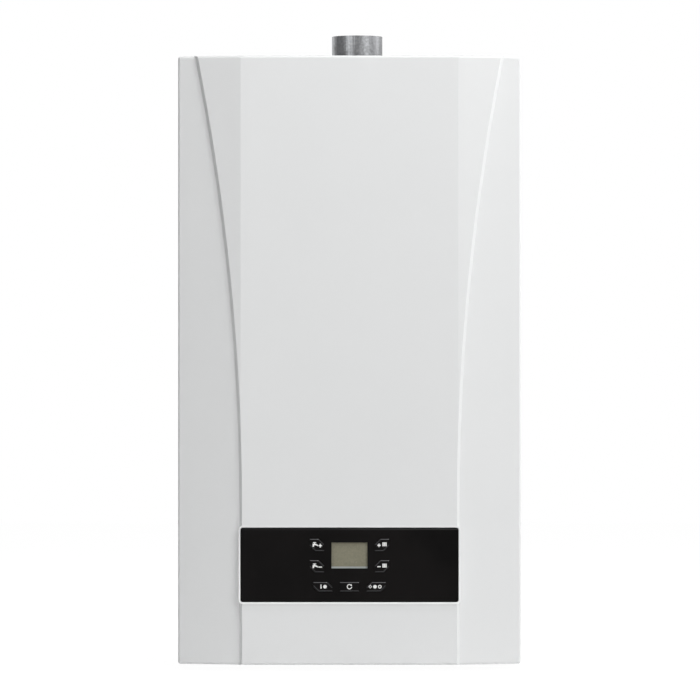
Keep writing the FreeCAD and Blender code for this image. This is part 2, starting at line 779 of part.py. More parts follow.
fascia_face = rounded(slab("fascia_face", rectangle("fascia_width", "fascia_height"), FASCIA_MIDDLE, "0",
                           FASCIA_FRONT, BOX_FRONT), "fascia_corner", runs_along("y"))
fascia_face = rounded(fascia_face, "fascia_edge", on_front_rim)
fascia_hollow = slab("fascia_hollow", rectangle("fascia_width", "fascia_height"), FASCIA_MIDDLE,
                     "-fascia_wall",
                     FASCIA_BACK, f"{BOX_FRONT} + fascia_wall")
fascia_cuts = [fascia_hollow]
for key, (corners, centre) in KEYS.items():
    fascia_cuts.append(slab(f"{key}_opening", corners, centre, "key_gap",
                            f"{FASCIA_FRONT} - fascia_wall", f"{FASCIA_BACK} + fascia_wall"))
fascia_cuts.append(slab("display_opening", DISPLAY_FACE, DISPLAY_MIDDLE, "0",
                        f"{FASCIA_FRONT} - fascia_wall", f"{FASCIA_BACK} + fascia_wall"))
fascia_tray = carve("fascia_tray", fascia_face, fascia_cuts)

# Display window: a clear sheet let into the fascia, with the display module close behind it
WINDOW_BACK = f"({FASCIA_FRONT} + display_sheet)"
node("display_window", slab("display_window", DISPLAY_FACE, DISPLAY_MIDDLE, "-display_gap",
                            FASCIA_FRONT, WINDOW_BACK))
BOARD_Y = f"({FASCIA_BACK} + display_case_depth)"
module_case = slab("module_case", DISPLAY_FACE, DISPLAY_MIDDLE, "display_case_rim", FASCIA_BACK, BOARD_Y)
module_glass = slab("module_glass", DISPLAY_FACE, DISPLAY_MIDDLE, "-display_gap", WINDOW_BACK, FASCIA_BACK)
node("display_module", join("display_module", [module_case, module_glass]))

# Display board behind the keys, with one push switch under each key
node("display_board", slab("display_board", rectangle("fascia_width", "fascia_height"), FASCIA_MIDDLE,
                           "-board_margin", BOARD_Y, f"{BOARD_Y} + board_gauge"))
SWITCH_TOP = f"({BOARD_Y} - switch_body)"
PLUNGER_TOP = f"({SWITCH_TOP} - switch_plunger)"
switches = []
for key, (corners, centre) in KEYS.items():
    body = slab(f"{key}_switch", rectangle("switch_side", "switch_side"), centre, "0", SWITCH_TOP, BOARD_Y)
    plunger = rod(f"{key}_plunger", "y", centre, (PLUNGER_TOP, SWITCH_TOP), "key_stem_radius")
    switches.append(join(f"{key}_push_switch", [body, plunger]))
node("key_switches", set_of("key_switches", switches))

# Keys: a cap in its opening, a flange that keeps it in, and a stem that reaches its switch
KEY_TOP = f"({FASCIA_FRONT} - key_proud)"
FLANGE_TOP = f"({FASCIA_BACK} + key_gap)"
FLANGE_BACK = f"({FLANGE_TOP} + key_flange_height)"
STEM_END = f"({PLUNGER_TOP} - switch_gap)"
for key, (corners, centre) in KEYS.items():
    cap = slab(f"{key}_cap", corners, centre, "0", KEY_TOP, FLANGE_TOP)
    flange = slab(f"{key}_flange", corners, centre, "key_flange", FLANGE_TOP, FLANGE_BACK)
    stem = rod(f"{key}_stem", "y", centre, (FLANGE_BACK, STEM_END), "key_stem_radius")
    node(key, join(key, [cap, flange, stem]))

# Control box: a moulded tray behind the fascia, hung on two pins, with its rear cover and board
BOX_BACK = f"({BOX_FRONT} + box_depth)"
BOX_MIDDLE = ("0", f"({BOX_Z} + box_height / 2)")
BOX_FACE = rectangle("box_width", "box_height")
box_blank = rounded(slab("box_blank", BOX_FACE, BOX_MIDDLE, "0", BOX_FRONT, BOX_BACK), "box_corner",
                    runs_along("y"))
box_hollow = slab("box_hollow", BOX_FACE, BOX_MIDDLE, "-box_wall", f"{BOX_FRONT} + box_wall",
                  f"{BOX_BACK} + box_wall")
board_pass = slab("board_pass", rectangle("fascia_width", "fascia_height"), FASCIA_MIDDLE,
                  "-fascia_wall - box_wall",
                  f"{BOX_FRONT} - box_wall", f"{BOX_FRONT} + 2 * box_wall")
box_tray = carve("box_tray", box_blank, [box_hollow, board_pass])
board_posts = []
main_posts = []
MAIN_Y = f"({BOX_BACK} - main_board_setback)"
for side, sign in (("left", "-"), ("right", "")):
    for level, rise in (("low", "-"), ("high", "")):
        x = f"{sign}(fascia_width / 2 - board_margin - box_wall)"
        z = f"({FASCIA_MIDDLE[1]} + {rise}(fascia_height / 2 - board_margin - box_wall))"
        board_posts.append(rod(f"board_post_{side}_{level}", "y", (x, z), (FASCIA_BACK, BOARD_Y),
                               "box_wall"))
        x = f"{sign}(box_width / 2 - main_board_margin - box_wall)"
        z = f"({BOX_MIDDLE[1]} + {rise}(box_height / 2 - main_board_margin - box_wall))"
        main_posts.append(rod(f"main_post_{side}_{level}", "y", (x, z), (MAIN_Y, BOX_BACK), "box_wall"))
node("control_fascia", join("control_fascia", [fascia_tray] + board_posts))
node("control_box", box_tray)
cover_plate = rounded(slab("cover_plate", BOX_FACE, BOX_MIDDLE, "0", BOX_BACK, f"{BOX_BACK} + box_wall"),
                      "box_corner", runs_along("y"))
node("control_cover", join("control_cover", [cover_plate] + main_posts))
board_sheet = slab("board_sheet", BOX_FACE, BOX_MIDDLE, "-main_board_margin", f"{MAIN_Y} - board_gauge",
                   MAIN_Y)
PARTS_BACK = f"({MAIN_Y} - board_gauge)"
transformer = slab("transformer", rectangle("box_depth", "box_depth"), ("(box_width / 4)", BOX_MIDDLE[1]),
                   "-box_corner", f"{PARTS_BACK} - box_depth / 2", PARTS_BACK)
relays = []
for number in range(3):
    place = (f"(-box_width / 3 + {number} * box_depth / 2)", BOX_MIDDLE[1])
    relays.append(slab(f"relay_{number}", rectangle("box_depth / 3", "box_depth / 4"), place, "0",
                       f"{PARTS_BACK} - box_depth / 4", PARTS_BACK))
node("main_board", join("main_board", [board_sheet, transformer] + relays))

# Hinge pins: headed pins in the rail's ears, on which the control box swings down for service
pins = []
for side, sign in (("left", "-"), ("right", "")):
    inner = "box_width / 2"
    outer = f"({EAR_IN} + ear_gauge + pin_gap)"
    ends = (inner, outer) if sign == "" else (f"-{outer}", f"-({inner})")
    cap = (outer, f"{outer} + ear_gauge") if sign == "" else (f"-{outer} - ear_gauge", f"-{outer}")
    shank = rod(f"pin_shank_{side}", "x", (PIN_Y, PIN_Z), ends, "pin_radius")
    crown = rod(f"pin_crown_{side}", "x", (PIN_Y, PIN_Z), cap, "pin_head_radius")
    pins.append(join(f"hinge_pin_{side}", [shank, crown]))
node("hinge_pins", set_of("hinge_pins", pins))

# Air box: a sealed sheet box round the burner and fan, open at the front inside a narrow flange
AIR_BACK = "(0 - frame_depth)"
AIR_FRONT = "(0 - frame_depth - air_box_depth)"
AIR_X = "(casing_width / 2 - air_box_side_room)"
CONNECTION_Y = "(0 - connection_setback)"
PIPE_X = "(casing_width / 2 - pipe_side_room)"
FEED_Y = "(0 - burner_front - injector_length - manifold_section / 2)"
air_blank = block("air_blank", (f"-{AIR_X}", AIR_X), (AIR_FRONT, AIR_BACK),
                  ("air_box_floor", "air_box_top"))
air_hollow = block("air_hollow", (f"sheet_gauge - {AIR_X}", f"{AIR_X} - sheet_gauge"),
                   (f"{AIR_FRONT} + sheet_gauge", f"{AIR_BACK} - sheet_gauge"),
                   ("air_box_floor + sheet_gauge", "air_box_top - sheet_gauge"))
air_mouth = block("air_mouth", (f"air_box_flange - {AIR_X}", f"{AIR_X} - air_box_flange"),
                  (f"{AIR_FRONT} - sheet_gauge", f"{AIR_FRONT} + 2 * sheet_gauge"),
                  ("air_box_floor + air_box_flange", "air_box_top - air_box_flange"))
FLOOR_SPAN = ("air_box_floor - sheet_gauge", "air_box_floor + 2 * sheet_gauge")
air_holes = [
    rod("air_intake", "z", ("stub_x", STUB_Y),
        ("air_box_top - 2 * sheet_gauge", "air_box_top + sheet_gauge"),
        "intake_radius"),
    rod("gas_pass", "z", ("0", FEED_Y), FLOOR_SPAN, "gas_pipe_radius + pipe_hole_gap"),
    rod("flow_pass", "z", (f"-{PIPE_X}", CONNECTION_Y), FLOOR_SPAN, "tube_radius + pipe_hole_gap"),
    rod("return_pass", "z", (PIPE_X, CONNECTION_Y), FLOOR_SPAN, "tube_radius + pipe_hole_gap"),
]
node("air_box", carve("air_box", air_blank, [air_hollow, air_mouth] + air_holes))

# Air box cover with its screws and the sight glass over the burner
COVER_FRONT = f"({AIR_FRONT} - cover_gauge)"
AIR_MIDDLE_Z = "((air_box_floor + air_box_top) / 2)"
cover_sheet = block("cover_sheet", (f"-{AIR_X}", AIR_X), (COVER_FRONT, AIR_FRONT),
                    ("air_box_floor", "air_box_top"))
sight_hole = rod("sight_hole", "y", ("0", "sight_height"),
                 (f"{COVER_FRONT} - cover_gauge", f"{AIR_FRONT} + cover_gauge"), "sight_radius")
swage = block("swage", (f"3 * air_box_flange - {AIR_X}", f"{AIR_X} - 3 * air_box_flange"),
              (f"{COVER_FRONT} - cover_gauge", f"{COVER_FRONT}"),
              ("sight_height + 4 * air_box_flange", "air_box_top - 3 * air_box_flange"))
node("air_box_cover", carve("air_box_cover", join("cover_pressed", [cover_sheet, swage]), [sight_hole]))
cover_screws = []
for row, z in (("low", "(air_box_floor + cover_screw_inset)"), ("mid", AIR_MIDDLE_Z),
               ("high", "(air_box_top - cover_screw_inset)")):
    for column, x in (("left", f"(cover_screw_inset - {AIR_X})"),
                      ("right", f"({AIR_X} - cover_screw_inset)")):
        cover_screws.append(rod(f"cover_screw_{row}_{column}", "y", (x, z),
                                (f"{COVER_FRONT} - cover_screw_height", COVER_FRONT), "cover_screw_radius"))
node("cover_screws", set_of("cover_screws", cover_screws))
node("sight_glass", rod("sight_glass", "y", ("0", "sight_height"),
                        (f"{COVER_FRONT} - sight_thickness", COVER_FRONT), "sight_radius + sight_rim"))

# Burner: slotted steel bars between two plates on side rails that stand on the air box floor
BURNER_LOW = "(air_box_floor + sheet_gauge)"
BURNER_TOP = f"({BURNER_LOW} + burner_height)"
CHAMBER_X = "(casing_width / 2 - chamber_side_room)"
BARS_LOW = f"({BURNER_TOP} - burner_bar_drop)"
BAR_MID = f"({BURNER_TOP} - burner_bar_drop / 2)"
RAIL_IN = f"({CHAMBER_X} - burner_rail)"
burner_metal = []
for side, span in (("left", (f"-{CHAMBER_X}", f"-{RAIL_IN}")), ("right", (RAIL_IN, CHAMBER_X))):
    burner_metal.append(block(f"burner_rail_{side}", span, ("-burner_front", "-burner_back"),
                              (BURNER_LOW, BURNER_TOP)))
for face, span in (("front", ("-burner_front", "burner_plate - burner_front")),
                   ("back", ("-burner_back - burner_plate", "-burner_back"))):
    burner_metal.append(block(f"burner_plate_{face}", (f"-{RAIL_IN}", RAIL_IN), span,
                              (BARS_LOW, BURNER_TOP)))
BAR_NUMBERS = range(SIZES["burner_bar_count"])
BAR_PITCH = f"(2 * ({CHAMBER_X} - burner_end_room) / burner_bar_count)"
BAR_PLACES = [f"(({number} - (burner_bar_count - 1) / 2) * {BAR_PITCH})" for number in BAR_NUMBERS]
venturis = []
ports = []
for number, x in enumerate(BAR_PLACES):
    bar = plate(f"burner_bar_{number}", "XZ_Plane", [
        (f"{x} - burner_bar_width / 2", BARS_LOW),
        (f"{x} + burner_bar_width / 2", BARS_LOW),
        (f"{x} + burner_bar_width / 2", f"{BURNER_TOP} - burner_bar_width / 2"),
        (f"{x} + burner_bar_width / 4", BURNER_TOP),
        (f"{x} - burner_bar_width / 4", BURNER_TOP),
        (f"{x} - burner_bar_width / 2", f"{BURNER_TOP} - burner_bar_width / 2"),
    ], ("burner_back + burner_plate", "burner_front - burner_plate"))
    burner_metal.append(bar)
    venturis.append(rod(f"venturi_{number}", "y", (x, BAR_MID),
                        ("-burner_front - burner_plate", "venturi_length - burner_front"),
                        "venturi_radius"))
    ports.append(block(f"flame_slot_{number}", (f"{x} - burner_plate / 2", f"{x} + burner_plate / 2"),
                       ("3 * burner_plate - burner_front", "-burner_back - 3 * burner_plate"),
                       (f"{BURNER_TOP} - burner_plate", f"{BURNER_TOP} + burner_plate")))
node("burner", carve("burner", join("burner_blank", burner_metal), venturis + ports))

# Gas manifold with one injector for each burner bar
MANIFOLD_BACK = "(0 - burner_front - injector_length)"
MANIFOLD_FRONT = f"({MANIFOLD_BACK} - manifold_section)"
MANIFOLD_X = f"({BAR_PITCH} * (burner_bar_count - 1) / 2 + manifold_end_room)"
manifold_bar = block("manifold_bar", (f"-{MANIFOLD_X}", MANIFOLD_X), (MANIFOLD_FRONT, MANIFOLD_BACK),
                     (f"{BAR_MID} - manifold_section / 2", f"{BAR_MID} + manifold_section / 2"))
manifold_feet = []
for side, span in (("left", (f"-{MANIFOLD_X} - burner_plate", f"-{MANIFOLD_X}")),
                   ("right", (MANIFOLD_X, f"{MANIFOLD_X} + burner_plate"))):
    manifold_feet.append(block(f"manifold_foot_{side}", span, (MANIFOLD_FRONT, MANIFOLD_BACK),
                               (BURNER_LOW, f"{BAR_MID} + manifold_section / 2")))
node("gas_manifold", join("gas_manifold", [manifold_bar] + manifold_feet))
injectors = []
for number, x in enumerate(BAR_PLACES):
    injectors.append(rod(f"injector_{number}", "y", (x, BAR_MID), (MANIFOLD_BACK, "-burner_front"),
                         "injector_radius"))
node("injectors", set_of("injectors", injectors))

# Combustion chamber: a sheet sleeve on the burner rails, lined with four fibre boards
CHAMBER_LOW = BURNER_TOP
CHAMBER_TOP = f"({BURNER_TOP} + chamber_height)"
CHAMBER_SPAN = (CHAMBER_LOW, CHAMBER_TOP)
PROBE_Z = f"({BURNER_TOP} + probe_height)"
PROBES = (("left", "-probe_spacing / 2"), ("right", "probe_spacing / 2"), ("sense", "sensor_offset"))
probe_holes = []
for side, x in PROBES:
    probe_holes.append(rod(f"probe_hole_{side}", "y", (x, PROBE_Z),
                           ("-chamber_front - sheet_gauge", "2 * board_thickness - chamber_front"),
                           "probe_radius + pin_gap"))
sleeve_out = block("sleeve_out", (f"-{CHAMBER_X}", CHAMBER_X), ("-chamber_front", "-chamber_back"),
                   CHAMBER_SPAN)
sleeve_in = block("sleeve_in", (f"sheet_gauge - {CHAMBER_X}", f"{CHAMBER_X} - sheet_gauge"),
                  ("sheet_gauge - chamber_front", "-chamber_back - sheet_gauge"),
                  (f"{CHAMBER_LOW} - sheet_gauge", f"{CHAMBER_TOP} + sheet_gauge"))
node("combustion_chamber", carve("combustion_chamber", sleeve_out, [sleeve_in] + probe_holes))
LINED_X = f"({CHAMBER_X} - sheet_gauge)"
LINED_FRONT = "(sheet_gauge - chamber_front)"
LINED_BACK = "(0 - chamber_back - sheet_gauge)"
front_board = block("front_board", (f"-{LINED_X}", LINED_X),
                    (LINED_FRONT, f"{LINED_FRONT} + board_thickness"), CHAMBER_SPAN)
boards = [
    carve("front_board_holed", front_board, probe_holes),
    block("rear_board", (f"-{LINED_X}", LINED_X), (f"{LINED_BACK} - board_thickness", LINED_BACK),
          CHAMBER_SPAN),
]
for side, span in (("left", (f"-{LINED_X}", f"board_thickness - {LINED_X}")),
                   ("right", (f"{LINED_X} - board_thickness", LINED_X))):
    boards.append(block(f"side_board_{side}", span,
                        (f"{LINED_FRONT} + board_thickness", f"{LINED_BACK} - board_thickness"),
                        CHAMBER_SPAN))
node("insulation_boards", set_of("insulation_boards", boards))


def probe(side, x):
    """A ceramic sleeve with a wire tip, held by a small plate on the chamber's front."""
    plate_front = "(0 - chamber_front - probe_plate)"
    half = "(probe_radius + probe_plate_margin)"
    return join(f"probe_{side}", [
        rod(f"probe_sleeve_{side}", "y", (x, PROBE_Z),
            (f"{plate_front} - probe_tail", "probe_reach - chamber_front"),
            "probe_radius"),
        rod(f"probe_wire_{side}", "y", (x, PROBE_Z),
            ("probe_reach - chamber_front", "probe_reach + probe_tip - chamber_front"),
            "probe_wire_radius"),
        block(f"probe_plate_{side}", (f"{x} - {half}", f"{x} + {half}"), (plate_front, "-chamber_front"),
              (f"{PROBE_Z} - {half}", f"{PROBE_Z} + {half}")),
    ])


node("ignition_electrodes", set_of("ignition_electrodes", [probe(*PROBES[0]), probe(*PROBES[1])]))
node("flame_sensor", probe(*PROBES[2]))

# Heat exchanger: a copper jacket with fins on a core, and U-bends that join its tubes at the ends
EXCHANGER_LOW = CHAMBER_TOP
EXCHANGER_TOP = f"({CHAMBER_TOP} + exchanger_height)"
CORE_MID = f"({CHAMBER_TOP} + exchanger_height / 2)"
jacket_out = block("jacket_out", (f"-{CHAMBER_X}", CHAMBER_X), ("-chamber_front", "-chamber_back"),
                   (EXCHANGER_LOW, EXCHANGER_TOP))
jacket_in = block("jacket_in", (f"exchanger_wall - {CHAMBER_X}", f"{CHAMBER_X} - exchanger_wall"),
                  ("exchanger_wall - chamber_front", "-chamber_back - exchanger_wall"),
                  (f"{EXCHANGER_LOW} - exchanger_wall", f"{EXCHANGER_TOP} + exchanger_wall"))
jacket = carve("jacket", jacket_out, [jacket_in])
core = block("core", (f"exchanger_wall - {CHAMBER_X}", f"{CHAMBER_X} - exchanger_wall"),
             ("exchanger_wall + fin_inset - chamber_front", "-chamber_back - exchanger_wall - fin_inset"),
             (f"{CORE_MID} - core_height / 2", f"{CORE_MID} + core_height / 2"))
fin_stack = doc.addObject("PartDesign::Body", "fin_stack")
FIN_SPAN = f"(2 * ({CHAMBER_X} - exchanger_wall - fin_margin))"
fin_face = outline(fin_stack, "fin_face", "YZ_Plane", [
    ("exchanger_wall + fin_inset - chamber_front", f"{EXCHANGER_LOW} + fin_inset"),
    ("-chamber_back - exchanger_wall - fin_inset", f"{EXCHANGER_LOW} + fin_inset"),
    ("-chamber_back - exchanger_wall - fin_inset", f"{EXCHANGER_TOP} - fin_inset"),
    ("exchanger_wall + fin_inset - chamber_front", f"{EXCHANGER_TOP} - fin_inset"),
])
fin_face.setExpression("AttachmentOffset.Base.z", formula(f"-{FIN_SPAN} / 2"))
fin = fin_stack.newObject("PartDesign::Pad", "fin")
fin.Profile = fin_face
bind(fin, Length="fin_gauge")
doc.recompute()
fin_row = fin_stack.newObject("PartDesign::LinearPattern", "fin_row")
fin_row.Originals = [fin]
fin_row.Direction = (fin_face, ["N_Axis"])
bind(fin_row, Length=f"{FIN_SPAN} - fin_gauge", Occurrences=f"floor({FIN_SPAN} / fin_pitch) + 1")
fin_stack.Tip = fin_row
node("heat_exchanger", join("heat_exchanger", [jacket, core, fin_stack]))
TUBE_PLACES = [f"({CONNECTION_Y} - {number} * tube_pitch)" for number in range(5)]
bends = []
for side, axis_x, pairs in (("left", f"-{CHAMBER_X}", ((1, 2), (3, 4))),
                            ("right", CHAMBER_X, ((0, 1), (2, 3)))):
    for first, second in pairs:
        ring = doc.addObject("Part::Torus", f"return_bend_{side}_{first}")
        turn = 90 if side == "right" else -90
        ring.Placement = FreeCAD.Placement(FreeCAD.Vector(),
                                           FreeCAD.Rotation(FreeCAD.Vector(0, 0, 1), -turn))
        middle = f"(({TUBE_PLACES[first]} + {TUBE_PLACES[second]}) / 2)"
        for letter, text in zip("xyz", (axis_x, middle, CORE_MID)):
            ring.setExpression("Placement.Base." + letter, formula(text))
        bind(ring, Radius1="tube_pitch / 2", Radius2="tube_radius")
        ring.Angle3 = 180
        bends.append(ring)
node("exchanger_bends", set_of("exchanger_bends", bends))

# Flue hood: a tapered sheet hood over the exchanger with a riser that feeds the fan from behind
HOOD_LOW = EXCHANGER_TOP
TAPER_TOP = f"({EXCHANGER_TOP} + hood_taper_height)"
RISER_TOP = f"({TAPER_TOP} + riser_height)"
RISER_FRONT = "(0 - chamber_back - riser_depth)"


def hood_form(name, inset):
    """The hood's outer form, or its hollow when inset."""
    taper = doc.addObject("Part::Wedge", name + "_taper")
    taper.Placement = FreeCAD.Placement(FreeCAD.Vector(), FreeCAD.Rotation(FreeCAD.Vector(1, 0, 0), 90))
    bind(taper, Xmin=f"{inset} - {CHAMBER_X}", Xmax=f"{CHAMBER_X} - {inset}",
         Zmin=f"chamber_back + {inset}", Zmax=f"chamber_front - {inset}",
         X2min=f"{inset} - riser_left", X2max=f"riser_right - {inset}",
         Z2min=f"chamber_back + {inset}", Z2max=f"chamber_back + riser_depth - {inset}",
         Ymin=HOOD_LOW, Ymax=TAPER_TOP)
    riser = block(name + "_riser", (f"{inset} - riser_left", f"riser_right - {inset}"),
                  (f"{RISER_FRONT} + {inset}", f"-chamber_back - {inset}"),
                  (TAPER_TOP, f"{RISER_TOP} - {inset}"))
    return join(name, [taper, riser])


FAN_X = "(stub_x + fan_outlet_width / 2 - fan_radius)"
FAN_Z = f"({TAPER_TOP} + fan_centre_rise)"
FAN_BACK = RISER_FRONT
FAN_FRONT = f"({RISER_FRONT} - fan_width)"
FAN_CENTRE = (FAN_X, FAN_Z)
fan_inlet = rod("fan_inlet", "y", FAN_CENTRE, (f"{FAN_BACK} - 2 * sheet_gauge",
                                               f"{FAN_BACK} + 2 * sheet_gauge"),
                "fan_inlet_radius")
node("flue_hood", carve("flue_hood", hood_form("hood_outer", "0"),
                        [hood_form("hood_hollow", "sheet_gauge"), fan_inlet]))

# Fan: a sheet volute with an upward outlet, a bladed wheel on a shaft, and the motor in front
OUTLET_TOP = f"({FAN_Z} + fan_outlet_rise)"
OUTLET_LEFT = "(stub_x - fan_outlet_width / 2)"
OUTLET_RIGHT = "(stub_x + fan_outlet_width / 2)"


def volute_form(name, inset, top):
    """The fan housing's outer form, or its hollow when inset."""
    drum = rod(name + "_drum", "y", FAN_CENTRE, (f"{FAN_FRONT} + {inset}", f"{FAN_BACK} - {inset}"),
               f"fan_radius - {inset}")
    duct = block(name + "_duct", (f"{OUTLET_LEFT} + {inset}", f"{OUTLET_RIGHT} - {inset}"),
                 (f"{FAN_FRONT} + {inset}", f"{FAN_BACK} - {inset}"), (FAN_Z, top))
    return join(name, [drum, duct])


shaft_hole = rod("shaft_hole", "y", FAN_CENTRE,
                 (f"{FAN_FRONT} - sheet_gauge", f"{FAN_FRONT} + 2 * sheet_gauge"),
                 "2 * fan_shaft_radius")
taps = []
TAP_X = f"({FAN_X} - spigot_reach)"
for number, rise in enumerate(("-", "")):
    z = f"(switch_disc_height + {rise}(spigot_spacing / 2))"
    taps.append(rod(f"fan_tap_{number}", "y", (TAP_X, z), (f"{FAN_FRONT} - spigot_length", FAN_FRONT),
                    "spigot_radius"))
outlet_flange = block("outlet_flange",
                      ("stub_x - stub_radius - outlet_plate_margin",
                       "stub_x + stub_radius + outlet_plate_margin"),
                      (f"{STUB_Y} - stub_radius - outlet_plate_margin",
                       f"{STUB_Y} + stub_radius + outlet_plate_margin"),
                      (f"{OUTLET_TOP} - outlet_plate", OUTLET_TOP))
volute_metal = join("volute_metal", [volute_form("volute_outer", "0", OUTLET_TOP), outlet_flange] + taps)
node("fan_housing", carve("fan_housing", volute_metal,
                          [volute_form("volute_hollow", "sheet_gauge", f"{OUTLET_TOP} + sheet_gauge"),
                           fan_inlet, shaft_hole]))
WHEEL_FRONT = f"({FAN_FRONT} + impeller_gap)"
WHEEL_BACK = f"({FAN_BACK} - impeller_gap)"
wheel = doc.addObject("PartDesign::Body", "wheel")
blade_face = outline(wheel, "blade_face", "XY_Plane", [
    ("impeller_radius - impeller_blade_depth", "-sheet_gauge / 2"),
    ("impeller_radius", "-sheet_gauge / 2"),
    ("impeller_radius", "sheet_gauge / 2"),
    ("impeller_radius - impeller_blade_depth", "sheet_gauge / 2"),
])
blade = wheel.newObject("PartDesign::Pad", "blade")
blade.Profile = blade_face
bind(blade, Length=f"{WHEEL_BACK} - {WHEEL_FRONT}")
doc.recompute()
blades = wheel.newObject("PartDesign::PolarPattern", "blades")
blades.Originals = [blade]
blades.Axis = (blade_face, ["N_Axis"])
blades.Angle = 360
bind(blades, Occurrences="impeller_blades")
wheel.Tip = blades
seat(wheel, "y", (FAN_X, WHEEL_FRONT, FAN_Z))
disc = rod("wheel_disc", "y", FAN_CENTRE, (f"{WHEEL_FRONT} - impeller_disc / 2",
                                           f"{WHEEL_FRONT} + impeller_disc / 2"),
           "impeller_radius")
band = tube("wheel_band", "y", FAN_CENTRE, (f"{WHEEL_BACK} - impeller_disc", WHEEL_BACK), "impeller_radius",
            "impeller_radius - impeller_blade_depth")
shaft = rod("wheel_shaft", "y", FAN_CENTRE, (f"{FAN_FRONT} - shaft_engagement",
                                             f"{WHEEL_FRONT} + impeller_gap"),
            "fan_shaft_radius")
node("fan_impeller", join("fan_impeller", [wheel, disc, band, shaft]))
MOTOR_RIM = "(fan_motor_radius - 3 * sheet_gauge)"
node("fan_motor", turned("fan_motor", "-y", (FAN_X, FAN_FRONT, FAN_Z), [
    ("fan_shaft_radius + fan_shaft_gap", "0"),
    ("fan_motor_radius", "0"),
    ("fan_motor_radius", "fan_motor_length / 3"),
    (MOTOR_RIM, "fan_motor_length / 3"),
    (MOTOR_RIM, "2 * fan_motor_length / 3"),
    ("fan_motor_radius", "2 * fan_motor_length / 3"),
    ("fan_motor_radius", "fan_motor_length - 3 * sheet_gauge"),
    (MOTOR_RIM, "fan_motor_length"),
    ("0", "fan_motor_length"),
    ("0", "shaft_engagement + fan_shaft_gap"),
    ("fan_shaft_radius + fan_shaft_gap", "shaft_engagement + fan_shaft_gap"),
]))

# Flue stub: a spigot of steel tube with a rolled foot, on the fan's outlet flange
STUB_IN = "(stub_radius - stub_wall)"
node("flue_stub", turned("flue_stub", "z", ("stub_x", STUB_Y, OUTLET_TOP), [
    (STUB_IN, "0"),
    ("stub_radius + outlet_plate_margin", "0"),
    ("stub_radius + outlet_plate_margin", "stub_wall"),
    ("stub_radius", "stub_wall"),
    ("stub_radius", f"stub_top - {OUTLET_TOP}"),
    (STUB_IN, f"stub_top - {OUTLET_TOP}"),
]))

# Air pressure switch on the air box wall, with two tubes to the fan housing
SWITCH_WALL = f"(sheet_gauge - {AIR_X})"
SWITCH_Y = f"({FAN_FRONT} - spigot_length - hose_bend)"
SWITCH_FACE = f"({SWITCH_WALL} + switch_disc_depth)"
switch_solids = [turned("switch_disc", "x", (SWITCH_WALL, SWITCH_Y, "switch_disc_height"), [
    ("0", "0"),
    ("switch_disc_radius - hose_bend", "0"),
    ("switch_disc_radius - hose_bend", "switch_disc_depth / 3"),
    ("switch_disc_radius", "switch_disc_depth / 3"),
    ("switch_disc_radius", "2 * switch_disc_depth / 3"),
    ("switch_disc_radius - hose_bend", "2 * switch_disc_depth / 3"),
    ("switch_disc_radius - hose_bend", "switch_disc_depth"),
    ("0", "switch_disc_depth"),
])]
hoses = []
for number, rise in enumerate(("-", "")):
    z = f"(switch_disc_height + {rise}(spigot_spacing / 2))"
    switch_solids.append(rod(f"switch_spigot_{number}", "x", (SWITCH_Y, z),
                             (SWITCH_FACE, f"{SWITCH_FACE} + spigot_length"),
                             "spigot_radius"))
    hoses.append(pipe(f"pressure_tube_{number}", [
        (f"{SWITCH_FACE} + spigot_length", SWITCH_Y, z),
        (TAP_X, SWITCH_Y, z),
        (TAP_X, f"{FAN_FRONT} - spigot_length", z),
    ], "hose_bend - pin_gap", "spigot_radius"))
node("air_pressure_switch", join("air_pressure_switch", switch_solids))
node("pressure_tubes", set_of("pressure_tubes", hoses))

# Expansion vessel: a flat round steel vessel against the rear frame, with its port at the bottom
VESSEL_PORT_Z = "(vessel_height - vessel_radius)"
VESSEL_MID_Y = f"({WALL_FACE} - vessel_depth / 2)"
vessel_shell = turned("vessel_shell", "-y", ("0", WALL_FACE, "vessel_height"), [
    ("0", "0"),
    ("vessel_radius - 3 * vessel_dish", "0"),
    ("vessel_radius - vessel_rim", "vessel_dish"),
    ("vessel_radius - vessel_rim", "vessel_depth / 2 - vessel_rim"),
    ("vessel_radius", "vessel_depth / 2 - vessel_rim"),
    ("vessel_radius", "vessel_depth / 2 + vessel_rim"),
    ("vessel_radius - vessel_rim", "vessel_depth / 2 + vessel_rim"),
    ("vessel_radius - vessel_rim", "vessel_depth - vessel_dish"),
    ("vessel_radius - 3 * vessel_dish", "vessel_depth"),
    ("0", "vessel_depth"),
])
PORT_SPAN = (f"{VESSEL_PORT_Z} - vessel_port_drop", f"{VESSEL_PORT_Z} + vessel_dish")
VESSEL_INSIDE = "(vessel_radius - vessel_rim - vessel_wall)"
vessel_port = rod("vessel_port", "z", ("0", VESSEL_MID_Y), PORT_SPAN, "hose_radius + vessel_rim")
vessel_hollow = turned("vessel_hollow", "-y", ("0", WALL_FACE, "vessel_height"), [
    ("0", "vessel_wall"),
    ("vessel_radius - 3 * vessel_dish", "vessel_wall"),
    (VESSEL_INSIDE, "vessel_dish"),
    (VESSEL_INSIDE, "vessel_depth - vessel_dish"),
    ("vessel_radius - 3 * vessel_dish", "vessel_depth - vessel_wall"),
    ("0", "vessel_depth - vessel_wall"),
])
vessel_bore = rod("vessel_bore", "z", ("0", VESSEL_MID_Y), PORT_SPAN, "hose_radius - hose_wall")
vessel_skin = carve("vessel_skin", vessel_shell, [vessel_hollow])
node("expansion_vessel", carve("expansion_vessel", join("vessel_with_port", [vessel_skin, vessel_port]),
                               [vessel_bore]))

